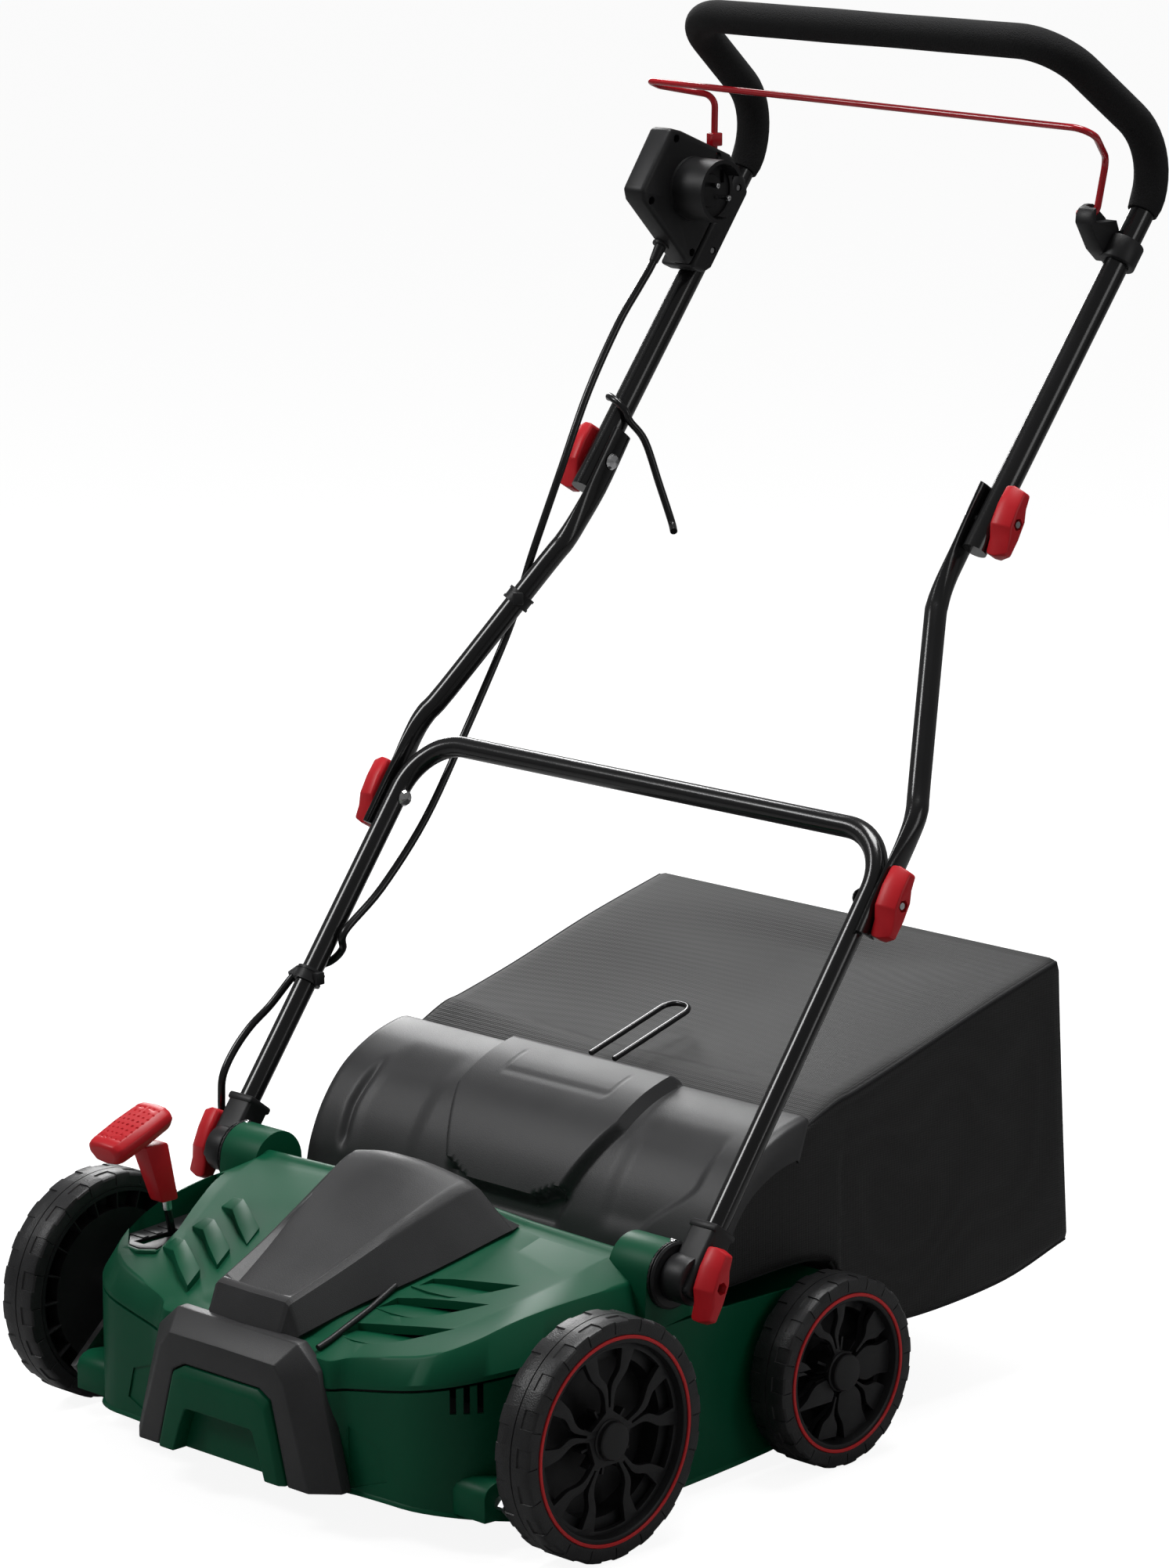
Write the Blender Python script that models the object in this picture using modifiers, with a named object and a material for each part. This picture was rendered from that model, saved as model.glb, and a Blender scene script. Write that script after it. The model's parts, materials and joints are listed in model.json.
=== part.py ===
"""Electric lawn dethatcher with a folding push handle and a rear catch bag.

Metres, +Z up, ground at z = 0. The machine faces -Y and the user walks behind it at +Y.
Sub-parts are drawn in machine coordinates, where y = 0 is the front axle. The empty
"machine" moves them by SHIFT_Y, which centres the whole object over the world origin.
Each moving group hangs from an empty that stands on its joint's axis.
"""
import math

import bmesh
import bpy
from mathutils import Matrix, Vector

# ---- driving dimensions (machine coordinates, metres) ----
SHIFT_Y = -0.3124
GAP = 0.0003

FRONT_R, REAR_R = 0.100, 0.0815
FRONT_AXLE = (0.0, 0.100)
REAR_AXLE = (0.300, REAR_R)
WHEEL_HALF = 0.019
FRONT_WHEEL_X, REAR_WHEEL_X = 0.2975, 0.277
WHEEL_STEPS = 32
AXLE_R = 0.006

WALL = 0.003
CRANK = (-0.060, 0.047)
CRANK_ARM_X = 0.2575
LEVER_X = -0.194
LEVER_PIVOT = (-0.008, 0.060)

MOTOR = (0.030, 0.140)
MOTOR_R, MOTOR_HALF = 0.040, 0.062
ROLLER = (0.095, 0.060)
BLADE_R, BLADE_COUNT, BLADE_PITCH = 0.046, 12, 0.029
BELT_X, BELT_WIDTH = 0.209, 0.009
DRIVE_R, DRIVEN_R = 0.013, 0.026

LOWER_PIVOT = (0.127, 0.197)
MID_PIVOT = (0.338, 0.478)
UPPER_PIVOT = (0.5425, 0.763)
LEG_X, LEG_R = 0.279, 0.0095
MID_LOW_X, MID_TOP_X = 0.2925, 0.2146
UPPER_X, UPPER_R = 0.230, 0.011
GRIP_R = 0.015
BAIL_AXIS = (0.688, 1.008)
BAIL_R = 0.003

FLAP_AXIS = (0.176, 0.166)
BOX_IN, BOX_OUT, SADDLE_OUT = -0.205, -0.231, -0.246
INLET, INLET_FLOOR = (0.640, 1.0005), -0.184
CABLE_R = 0.0035

GREEN = ("green plastic", (0.000, 0.075, 0.035), 0.42, 0.0)
DARK = ("dark grey plastic", (0.030, 0.030, 0.032), 0.50, 0.0)
BLACK = ("black plastic", (0.010, 0.010, 0.011), 0.45, 0.0)
RED = ("red plastic", (0.520, 0.010, 0.016), 0.38, 0.0)
RUBBER = ("tyre rubber", (0.016, 0.016, 0.017), 0.55, 0.0)
FOAM = ("foam", (0.008, 0.008, 0.009), 0.95, 0.0)
PAINT = ("black tube paint", (0.008, 0.008, 0.009), 0.22, 0.0)
STEEL = ("steel", (0.560, 0.560, 0.570), 0.30, 1.0)
MESH = ("woven mesh", (0.014, 0.014, 0.015), 0.85, 0.0)

# ---- scene set-up ----
for old in list(bpy.data.objects):
    bpy.data.objects.remove(old, do_unlink=True)
PARTS = bpy.data.collections.new("lawn_dethatcher")
CUTTERS = bpy.data.collections.new("cutters")
bpy.context.scene.collection.children.link(PARTS)
bpy.context.scene.collection.children.link(CUTTERS)

GROUPS = {}


def add_group(name, point, parent=None):
    """Adds the empty that a moving group hangs from, standing on its joint's axis."""
    empty = bpy.data.objects.new(name + "_axis", None)
    PARTS.objects.link(empty)
    empty.location = Vector(point)
    if parent:
        empty.parent = GROUPS[parent][0]
        empty.location = Vector(point) - GROUPS[parent][1]
    GROUPS[name] = (empty, Vector(point))


def at(pivot, x=0.0):
    """A point in space from an (y, z) pair."""
    return (x, pivot[0], pivot[1])


add_group("machine", (0, 0, 0))
GROUPS["machine"][0].location = (0, SHIFT_Y, 0)
for group_name, group_point, group_parent in (
        ("crank", at(CRANK), "machine"),
        ("lever", at(LEVER_PIVOT, LEVER_X), "machine"),
        ("roller", at(ROLLER), "machine"),
        ("rotor", at(MOTOR), "machine"),
        ("flap", at(FLAP_AXIS), "machine"),
        ("bag", (0, 0.30, 0.17), "machine"),
        ("rear_wheel_left", at(REAR_AXLE, -REAR_WHEEL_X), "machine"),
        ("rear_wheel_right", at(REAR_AXLE, REAR_WHEEL_X), "machine"),
        ("front_wheel_left", at(FRONT_AXLE, -FRONT_WHEEL_X), "crank"),
        ("front_wheel_right", at(FRONT_AXLE, FRONT_WHEEL_X), "crank"),
        ("lower_knob_left", at(LOWER_PIVOT, -0.30), "machine"),
        ("lower_knob_right", at(LOWER_PIVOT, 0.30), "machine"),
        ("lower_handle", at(LOWER_PIVOT), "machine"),
        ("mid_knob_left", at(MID_PIVOT, -0.31), "lower_handle"),
        ("mid_knob_right", at(MID_PIVOT, 0.31), "lower_handle"),
        ("mid_handle", at(MID_PIVOT), "lower_handle"),
        ("upper_knob_left", at(UPPER_PIVOT, -0.256), "mid_handle"),
        ("upper_knob_right", at(UPPER_PIVOT, 0.256), "mid_handle"),
        ("upper_handle", at(UPPER_PIVOT), "mid_handle"),
        ("bail", at(BAIL_AXIS), "upper_handle"),
        ("lock", (BOX_OUT, 0.600, 1.010), "upper_handle"),
        ("hook", (-UPPER_X, 0.572, 0.800), "upper_handle")):
    add_group(group_name, group_point, group_parent)


# ---- tools ----
def material(spec, name):
    label, colour, rough, metal = spec
    made = bpy.data.materials.new(name + " " + label)
    made.use_nodes = True
    shader = made.node_tree.nodes["Principled BSDF"]
    shader.inputs["Base Color"].default_value = (*colour, 1.0)
    shader.inputs["Roughness"].default_value = rough
    shader.inputs["Metallic"].default_value = metal
    return made


def new_object(name, data, collection=PARTS):
    made = bpy.data.objects.new(name, data)
    collection.objects.link(made)
    return made


def mesh_object(name, bm, collection=PARTS):
    data = bpy.data.meshes.new(name)
    bm.to_mesh(data)
    bm.free()
    return new_object(name, data, collection)


def bake(obj):
    """Replaces an object's curve or modifiers with the plain mesh that they make."""
    bpy.context.view_layer.update()
    graph = bpy.context.evaluated_depsgraph_get()
    data = bpy.data.meshes.new_from_object(obj.evaluated_get(graph))
    bm = bmesh.new()
    bm.from_mesh(data)
    bmesh.ops.remove_doubles(bm, verts=bm.verts, dist=1e-6)
    bm.to_mesh(data)
    bm.free()
    made = bpy.data.objects.new(obj.name, data)
    obj.users_collection[0].objects.link(made)
    made.matrix_world = obj.matrix_world.copy()
    name = obj.name
    bpy.data.objects.remove(obj, do_unlink=True)
    made.name = name
    return made


def piece(obj, name, spec, group="machine"):
    """Names an object, gives it its material and hangs it from its group's empty."""
    obj.name = name
    obj.data.name = name
    obj.data.materials.clear()
    obj.data.materials.append(material(spec, name))
    obj.data.shade_smooth()
    obj.data.set_sharp_from_angle(angle=math.radians(35))
    empty, point = GROUPS[group]
    obj.parent = empty
    obj.location = obj.location - point
    return obj


def block(low, high, collection=PARTS, name="block"):
    bm = bmesh.new()
    bmesh.ops.create_cube(bm, size=1.0)
    low, high = Vector(low), Vector(high)
    size = high - low
    place = Matrix.Translation((low + high) / 2) @ Matrix.Diagonal((*size, 1.0))
    bmesh.ops.transform(bm, matrix=place, verts=bm.verts)
    return mesh_object(name, bm, collection)


def rod(start, end, radius, sides=16, collection=PARTS, name="rod"):
    start, end = Vector(start), Vector(end)
    axis = end - start
    bm = bmesh.new()
    bmesh.ops.create_cone(bm, cap_ends=True, segments=sides, radius1=radius, radius2=radius,
                          depth=axis.length)
    turn = axis.to_track_quat("Z", "Y").to_matrix().to_4x4()
    bmesh.ops.transform(bm, matrix=Matrix.Translation((start + end) / 2) @ turn, verts=bm.verts)
    return mesh_object(name, bm, collection)


def bevel(obj, width, segments=1, angle=40):
    modifier = obj.modifiers.new("edge", "BEVEL")
    modifier.width = width
    modifier.segments = segments
    modifier.limit_method = "ANGLE"
    modifier.angle_limit = math.radians(angle)
    return bake(obj)


def combine(obj, other, operation):
    """Boolean with a mesh in the cutters' collection, which is hidden from view."""
    if other.name not in CUTTERS.objects:
        for collection in other.users_collection:
            collection.objects.unlink(other)
        CUTTERS.objects.link(other)
    modifier = obj.modifiers.new(operation.lower(), "BOOLEAN")
    modifier.operation = operation
    modifier.solver = "EXACT"
    modifier.object = other
    made = bake(obj)
    bpy.data.objects.remove(other, do_unlink=True)
    return made


def cut(obj, *cutters):
    for cutter in cutters:
        obj = combine(obj, cutter, "DIFFERENCE")
    return obj


def fuse(obj, *others):
    for other in others:
        obj = combine(obj, other, "UNION")
    return obj


def turned(profile, steps, side, centre, name="turned", closed=True):
    """Turns a (radius, along) profile about the X axis; "along" points away from the middle."""
    bm = bmesh.new()
    verts = [bm.verts.new((radius, 0, along)) for radius, along in profile]
    pairs = list(zip(verts, verts[1:]))
    if closed:
        pairs.append((verts[-1], verts[0]))
    for first, second in pairs:
        bm.edges.new((first, second))
    obj = mesh_object(name, bm)
    screw = obj.modifiers.new("turn", "SCREW")
    screw.steps = screw.render_steps = steps
    screw.use_merge_vertices = True
    screw.merge_threshold = 1e-6
    obj = bake(obj)
    turn = Matrix.Rotation(math.radians(90 * side), 4, "Y")
    obj.data.transform(Matrix.Translation(centre) @ turn)
    return obj


def fillet(points, radius, steps=5):
    """The points with each inner corner made an arc; radius is one value or one per corner."""
    points = [Vector(p) for p in points]
    path = [points[0]]
    radii = radius if isinstance(radius, tuple) else (radius,) * len(points)
    for before, corner, after, radius in zip(points, points[1:], points[2:], radii):
        inward = (before - corner).normalized()
        outward = (after - corner).normalized()
        half = inward.angle(outward) / 2
        reach = radius / math.tan(half)
        middle = corner + (inward + outward).normalized() * (radius / math.sin(half))
        first = corner + inward * reach - middle
        last = corner + outward * reach - middle
        turn = first.angle(last)
        for step in range(steps + 1):
            share = step / steps
            weight = (math.sin((1 - share) * turn) * first + math.sin(share * turn) * last)
            path.append(middle + weight / math.sin(turn))
    path.append(points[-1])
    return path


def smooth_path(points, per_span=4):
    """A Catmull-Rom curve through the points."""
    points = [Vector(p) for p in points]
    padded = [2 * points[0] - points[1]] + points + [2 * points[-1] - points[-2]]
    path = []
    for a, b, c, d in zip(padded, padded[1:], padded[2:], padded[3:]):
        for step in range(per_span):
            t = step / per_span
            path.append(0.5 * (2 * b + (c - a) * t + (2 * a - 5 * b + 4 * c - d) * t * t
                               + (3 * b - a - 3 * c + d) * t ** 3))
    path.append(points[-1])
    return path


def wire(path, radius, name="wire", resolution=3, capped=True):
    """A round bar along a path."""
    curve = bpy.data.curves.new(name, "CURVE")
    curve.dimensions = "3D"
    curve.bevel_depth = radius
    curve.bevel_resolution = resolution
    curve.use_fill_caps = capped
    spline = curve.splines.new("POLY")
    spline.points.add(len(path) - 1)
    for point, place in zip(spline.points, path):
        point.co = (*place, 1.0)
    return bake(new_object(name, curve))


def oval_bar(stations, sides=12, name="bar"):
    """A loft through ovals: each station is (centre, half width across, half thickness in x)."""
    centres = [Vector(centre) for centre, across, thick in stations]
    bm = bmesh.new()
    rings = []
    for index, (centre, across, thick) in enumerate(stations):
        before = centres[max(index - 1, 0)]
        after = centres[min(index + 1, len(centres) - 1)]
        along = (after - before).normalized()
        side = (Vector((1, 0, 0)) - along * along.x).normalized()
        normal = along.cross(side)
        ring = []
        for k in range(sides):
            turn = math.tau * k / sides
            ring.append(bm.verts.new(centres[index] + side * thick * math.cos(turn)
                                     + normal * across * math.sin(turn)))
        rings.append(ring)
    for first, second in zip(rings, rings[1:]):
        for k in range(sides):
            n = (k + 1) % sides
            bm.faces.new((first[k], first[n], second[n], second[k]))
    bm.faces.new(list(reversed(rings[0])))
    bm.faces.new(rings[-1])
    bmesh.ops.recalc_face_normals(bm, faces=bm.faces)
    return mesh_object(name, bm)


def flat(outlines, thickness, turn, centre, name="flat"):
    """A flat outline with holes, of the given thickness; turn takes its plane into place."""
    curve = bpy.data.curves.new(name, "CURVE")
    curve.dimensions = "2D"
    curve.fill_mode = "BOTH"
    curve.extrude = thickness / 2
    for outline in outlines:
        spline = curve.splines.new("POLY")
        spline.points.add(len(outline) - 1)
        spline.use_cyclic_u = True
        for point, (u, v) in zip(spline.points, outline):
            point.co = (u, v, 0.0, 1.0)
    obj = bake(new_object(name, curve))
    obj.data.transform(Matrix.Translation(centre) @ turn)
    bm = bmesh.new()
    bm.from_mesh(obj.data)
    bmesh.ops.recalc_face_normals(bm, faces=bm.faces)
    bm.to_mesh(obj.data)
    bm.free()
    return obj


def side_plane():
    """Takes an outline drawn as (y, z) into a plane that faces X."""
    return Matrix(((0, 0, 1, 0), (1, 0, 0, 0), (0, 1, 0, 0), (0, 0, 0, 1)))


def front_plane():
    """Takes an outline drawn as (x, z) into a plane that faces Y."""
    return Matrix(((1, 0, 0, 0), (0, 0, -1, 0), (0, 1, 0, 0), (0, 0, 0, 1)))


def circle(radius, sides, centre=(0, 0), start=0.0):
    return [(centre[0] + radius * math.cos(start + math.tau * k / sides),
             centre[1] + radius * math.sin(start + math.tau * k / sides)) for k in range(sides)]


def sheet(rows, thickness, mirror=True, name="sheet"):
    """A shell of one thickness from rows of points, mirrored about x = 0 if asked."""
    bm = bmesh.new()
    grid = [[bm.verts.new(point) for point in row] for row in rows]
    for first, second in zip(grid, grid[1:]):
        for k in range(len(first) - 1):
            bm.faces.new((first[k], first[k + 1], second[k + 1], second[k]))
    bmesh.ops.remove_doubles(bm, verts=bm.verts, dist=1e-6)
    bmesh.ops.recalc_face_normals(bm, faces=bm.faces)
    obj = mesh_object(name, bm)
    if mirror:
        half = obj.modifiers.new("mirror", "MIRROR")
        half.merge_threshold = 1e-5
    solid = obj.modifiers.new("wall", "SOLIDIFY")
    solid.thickness = thickness
    solid.offset = -1.0
    solid.use_even_offset = True
    return bake(obj)


def along_tube(pivot, other, distance, x):
    """The point at a distance from one pivot towards another, at the given x."""
    start, end = Vector(at(pivot)), Vector(at(other))
    point = start + (end - start).normalized() * distance
    return Vector((x, point.y, point.z))


# ---- wheels ----
def rim_profile(radius):
    """Barrel, spoked face and hub in one outline; the hub's bore is closed by its cap."""
    outer, bore = radius - 0.0134, AXLE_R + GAP
    h = WHEEL_HALF
    return [(0, h + 0.0015), (0.014, h + 0.0010), (0.019, h - 0.003), (outer - 0.011, h - 0.007),
            (outer - 0.007, h), (outer, h), (outer, -h), (outer - 0.0035, -h),
            (outer - 0.0035, h - 0.014), (0.019, h - 0.016), (0.019, -h), (bore, -h), (bore, h - 0.003),
            (0, h - 0.003)]


def spoke_windows(radius):
    """The gaps between five forked spokes: a wide one and a narrow one at each."""
    outer = radius - 0.0195
    outlines = []
    for k in range(5):
        turn = math.tau * k / 5
        for half_in, half_out, inner in ((0.20, 0.30, 0.030), (0.035, 0.17, 0.034)):
            middle = turn + (0.0 if inner == 0.030 else math.pi / 5)
            outlines.append([(inner * math.cos(middle - half_in), inner * math.sin(middle - half_in)),
                             (outer * math.cos(middle - half_out), outer * math.sin(middle - half_out)),
                             (outer * 1.03 * math.cos(middle), outer * 1.03 * math.sin(middle)),
                             (outer * math.cos(middle + half_out), outer * math.sin(middle + half_out)),
                             (inner * math.cos(middle + half_in), inner * math.sin(middle + half_in))])
    return outlines


def wheel(name, group, radius, x, axle, side):
    h = WHEEL_HALF
    centre = at(axle, x * side)
    inner = radius - 0.0131
    tyre = turned([(radius - 0.005, h), (radius, h - 0.006), (radius, 0.006 - h),
                   (radius - 0.005, -h), (inner, -h), (inner, h)], WHEEL_STEPS, side, centre)
    piece(tyre, name + "_tyre", RUBBER, group)
    rim = turned(rim_profile(radius), WHEEL_STEPS, side, centre, closed=False)
    for outline in spoke_windows(radius):
        cutter = flat([outline], 0.030, side_plane(), centre)
        cutter.data.transform(Matrix.Translation((side * (h - 0.010), 0, 0)))
        rim = cut(rim, cutter)
    piece(rim, name + "_rim", BLACK, group)


# ---- deck ----
# The right half of the deck's skirt in plan, as (x, y, bottom edge, top edge).
DECK_EDGE = [
    (0.0, -0.112, 0.034, 0.1205), (0.080, -0.112, 0.034, 0.1205), (0.102, -0.111, 0.034, 0.1205),
    (0.114, -0.102, 0.034, 0.1215), (0.150, -0.0985, 0.034, 0.1275), (0.182, -0.0945, 0.033, 0.1335),
    (0.206, -0.081, 0.031, 0.1380), (0.225, -0.058, 0.027, 0.1425), (0.239, -0.030, 0.022, 0.1465),
    (0.247, 0.008, 0.016, 0.1495), (0.250, 0.060, 0.012, 0.1515), (0.250, 0.115, 0.009, 0.1530),
    (0.250, 0.156, 0.009, 0.1540), (0.250, 0.250, 0.014, 0.1525), (0.250, 0.338, 0.024, 0.1500)]
LUG_SHAPE = [(-0.077, 0.033), (-0.077, 0.054), (-0.071, 0.0620), (-0.060, 0.0645), (-0.043, 0.0620),
             (-0.043, 0.031)]


def lower_deck():
    top = [(x, y, high) for x, y, low, high in DECK_EDGE]
    middle = [(x, y, (low + high) / 2) for x, y, low, high in DECK_EDGE]
    bottom = [(x, y, low) for x, y, low, high in DECK_EDGE]
    deck = sheet([bottom, middle, top], WALL)
    for side in (-1, 1):
        lug = flat([LUG_SHAPE], 0.045, side_plane(), (0.2245 * side, 0, 0))
        boss = rod(at(REAR_AXLE, 0.238 * side), at(REAR_AXLE, 0.2535 * side), 0.014, 16, CUTTERS)
        deck = fuse(deck, lug, boss)
    deck = fuse(deck, chute_ramp())
    for axle in (CRANK, REAR_AXLE):
        deck = cut(deck, rod(at(axle, -0.30), at(axle, 0.30), AXLE_R + GAP))
    piece(deck, "lower_deck", GREEN)


def chute_ramp():
    """The floor that leads clippings up and back into the bag, joined to both side walls."""
    ramp = [(0.160, 0.022), (0.200, 0.040), (0.250, 0.080), (0.300, 0.122), (0.335, 0.148)]
    rows = [[(x, y, z) for y, z in ramp] for x in (-0.2485, 0.2485)]
    return sheet(rows, 0.0030, mirror=False)


SEAM = [(x, y, high + 0.0005) for x, y, low, high in DECK_EDGE[:13]] + [(0.250, 0.165, 0.1545)]
COVER_RAILS = [
    SEAM, [(x, y, z + 0.004) for x, y, z in SEAM],
    [(0.0, -0.108, 0.1430), (0.080, -0.108, 0.1430), (0.100, -0.107, 0.1430), (0.114, -0.096, 0.1465),
     (0.150, -0.088, 0.1530), (0.180, -0.081, 0.1590), (0.199, -0.070, 0.1655), (0.212, -0.048, 0.1735),
     (0.221, -0.018, 0.1825), (0.229, 0.020, 0.1885), (0.236, 0.065, 0.1920), (0.238, 0.115, 0.1925),
     (0.238, 0.145, 0.1900), (0.238, 0.165, 0.1780)],
    [(0.0, -0.085, 0.1490), (0.062, -0.085, 0.1490), (0.082, -0.080, 0.1510), (0.100, -0.070, 0.1530),
     (0.128, -0.056, 0.1580), (0.150, -0.044, 0.1630), (0.166, -0.030, 0.1680), (0.178, -0.008, 0.1750),
     (0.188, 0.018, 0.1830), (0.198, 0.046, 0.1920), (0.206, 0.076, 0.2010), (0.212, 0.105, 0.2080),
     (0.213, 0.122, 0.2090), (0.213, 0.165, 0.1780)],
    [(0.0, -0.060, 0.1600), (0.040, -0.060, 0.1600), (0.058, -0.055, 0.1610), (0.064, -0.043, 0.1640),
     (0.070, -0.027, 0.1685), (0.076, -0.009, 0.1745), (0.082, 0.010, 0.1810), (0.088, 0.028, 0.1870),
     (0.094, 0.048, 0.1935), (0.099, 0.068, 0.2000), (0.104, 0.088, 0.2060), (0.108, 0.106, 0.2110),
     (0.109, 0.120, 0.2120), (0.109, 0.165, 0.1760)],
    [(0.0, -0.060, 0.1600), (0.0, -0.054, 0.1620), (0.0, -0.047, 0.1650), (0.0, -0.035, 0.1700),
     (0.0, -0.020, 0.1750), (0.0, -0.004, 0.1810), (0.0, 0.014, 0.1880), (0.0, 0.032, 0.1970),
     (0.0, 0.050, 0.2050), (0.0, 0.068, 0.2120), (0.0, 0.085, 0.2160), (0.0, 0.104, 0.2180),
     (0.0, 0.120, 0.2180), (0.0, 0.165, 0.1760)]]
GATE_OUTLINE = [(-0.236, 0.080), (-0.231, 0.040), (-0.226, -0.004), (-0.221, -0.040), (-0.197, -0.063),
                (-0.181, -0.065), (-0.168, -0.054), (-0.180, -0.018), (-0.195, 0.014), (-0.214, 0.056),
                (-0.224, 0.081)]
GATE_CENTRE = (-0.203, -0.010)
GATE_Z = 0.1640


def scaled(outline, centre, share):
    """The outline grown or shrunk about a point."""
    return [(centre[0] + (u - centre[0]) * share, centre[1] + (v - centre[1]) * share)
            for u, v in outline]


def space_above_cover():
    """The room over the left half of the cover, starting just inside its outer surface."""
    bm = bmesh.new()
    grid = [[bm.verts.new((-x, y, max(z - 0.0008, GATE_Z + 0.0006))) for x, y, z in row]
            for row in COVER_RAILS[1:5]]
    for first, second in zip(grid, grid[1:]):
        for k in range(len(first) - 1):
            bm.faces.new((first[k], first[k + 1], second[k + 1], second[k]))
    for vert in bmesh.ops.extrude_face_region(bm, geom=bm.faces[:])["geom"]:
        if isinstance(vert, bmesh.types.BMVert):
            vert.co.z += 0.15
    bmesh.ops.recalc_face_normals(bm, faces=bm.faces)
    return mesh_object("space", bm)


def gate_well(cover):
    """The well in the left shoulder where the depth lever's gate plate lies."""
    column = cut(flat([GATE_OUTLINE], 0.054, Matrix(), (0, 0, GATE_Z + 0.015)), space_above_cover())
    inner = scaled(GATE_OUTLINE, GATE_CENTRE, 0.93)
    well = flat([inner], 0.080, Matrix(), (0, 0, GATE_Z + 0.040))
    return cut(fuse(cover, column), well)


def upper_deck():
    cover = gate_well(sheet(COVER_RAILS, 0.0026))
    slot = block((LEVER_X - 0.0065, -0.048, 0.100), (LEVER_X + 0.0065, 0.006, 0.200))
    cover = cut(cover, slot)
    for side in (-1, 1):
        ear = rod(at(LOWER_PIVOT, 0.216 * side), at(LOWER_PIVOT, 0.2555 * side), 0.028, 24, CUTTERS)
        cover = fuse(cover, ear)
        cover = cut(cover, rod(at(LOWER_PIVOT, 0.236 * side), at(LOWER_PIVOT, 0.270 * side), 0.0043, 12))
    piece(cover, "upper_deck", GREEN)


def gate_plate():
    outline = scaled(GATE_OUTLINE, GATE_CENTRE, 0.91)
    slot = [(LEVER_X - 0.0060, -0.046), (LEVER_X + 0.0060, -0.046), (LEVER_X + 0.0060, 0.004),
            (LEVER_X - 0.0060, 0.004)]
    plate = flat([outline, slot], 0.003, Matrix(), (0, 0, GATE_Z + GAP + 0.0015))
    piece(plate, "depth_gate_plate", BLACK)


HOOD_ROWS = [
    [(0.052, -0.104, 0.1465), (0.042, -0.111, 0.1465), (0.0, -0.114, 0.1465)],
    [(0.053, -0.096, 0.1510), (0.043, -0.099, 0.1780), (0.0, -0.102, 0.1790)],
    [(0.066, -0.040, 0.1680), (0.050, -0.042, 0.1990), (0.0, -0.044, 0.2020)],
    [(0.088, 0.020, 0.1870), (0.058, 0.018, 0.2240), (0.0, 0.015, 0.2290)],
    [(0.106, 0.086, 0.2085), (0.069, 0.078, 0.2460), (0.0, 0.066, 0.2580)],
    [(0.108, 0.094, 0.2105), (0.072, 0.094, 0.2360), (0.0, 0.090, 0.2440)],
    [(0.106, 0.104, 0.2120), (0.072, 0.106, 0.2160), (0.0, 0.108, 0.2215)]]


def motor_hood():
    piece(sheet(HOOD_ROWS, 0.0022), "motor_hood", DARK)


def front_trim():
    outer = [(0.0, 0.146), (0.066, 0.146), (0.082, 0.142), (0.098, 0.121), (0.122, 0.037),
             (0.078, 0.037), (0.0590, 0.106), (0.0450, 0.1135)]
    outline = outer + [(-u, v) for u, v in reversed(outer) if u != 0]
    trim = flat([outline], 0.018, front_plane(), (0, -0.1250, 0))
    piece(bevel(trim, 0.002), "front_trim", DARK)
    insert = [(0.0440, 0.1125), (0.0575, 0.1055), (0.0765, 0.040), (0.0550, 0.040), (0.0410, 0.074)]
    panel = flat([insert + [(-u, v) for u, v in reversed(insert)]], 0.022, front_plane(),
                 (0, -0.1280, 0))
    piece(bevel(panel, 0.0015), "front_insert", GREEN)


def tunnel_cover():
    """The curved cover over the roller, which ends below the flap's hinge."""
    arc = []
    for step in range(9):
        turn = math.radians(205 - step * 20)
        arc.append((ROLLER[0] + 0.056 * math.cos(turn), ROLLER[1] + 0.056 * math.sin(turn)))
    arc.append((0.168, 0.150))
    rows = [[(x, y, z) for y, z in arc] for x in (-0.192, 0.192)]
    piece(sheet(rows, 0.0025, mirror=False), "tunnel_cover", BLACK)


# ---- drive ----
def motor():
    length = MOTOR_HALF
    can = turned([(0.006, length), (0.030, length), (MOTOR_R, length - 0.010), (MOTOR_R, 0.010 - length),
                  (0.030, -length), (0.006, -length)], 24, 1, at(MOTOR))
    piece(can, "motor_can", STEEL)
    shaft = rod(at(MOTOR, -0.070), at(MOTOR, BELT_X), 0.0055, 12)
    piece(fuse(shaft, pulley(DRIVE_R, MOTOR)), "motor_shaft_and_pulley", STEEL, "rotor")


def pulley(radius, centre):
    half = BELT_WIDTH / 2
    return turned([(radius + 0.003, half + 0.001), (radius, half + 0.0006), (radius, -half - 0.0006),
                   (radius + 0.003, -half - 0.001), (0.003, -half - 0.001), (0.003, half + 0.001)],
                  24, 1, at(centre, BELT_X))


def belt_outline(offset):
    """The oval that wraps both pulleys at a distance from their rims."""
    first, second = Vector(MOTOR), Vector(ROLLER)
    r_first, r_second = DRIVE_R + offset, DRIVEN_R + offset
    line = second - first
    lean = math.acos((r_first - r_second) / line.length)
    heading = math.atan2(line.y, line.x)
    outline = []
    for centre, radius, start, sweep in ((first, r_first, heading + lean, math.tau - 2 * lean),
                                         (second, r_second, heading - lean, 2 * lean)):
        for step in range(11):
            turn = start + sweep * step / 10
            outline.append((centre.x + radius * math.cos(turn), centre.y + radius * math.sin(turn)))
    return outline


def drive_belt():
    belt = flat([belt_outline(0.0026), belt_outline(0.0006)], BELT_WIDTH - 0.001, side_plane(),
                (BELT_X, 0, 0))
    piece(belt, "drive_belt", RUBBER)


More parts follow.
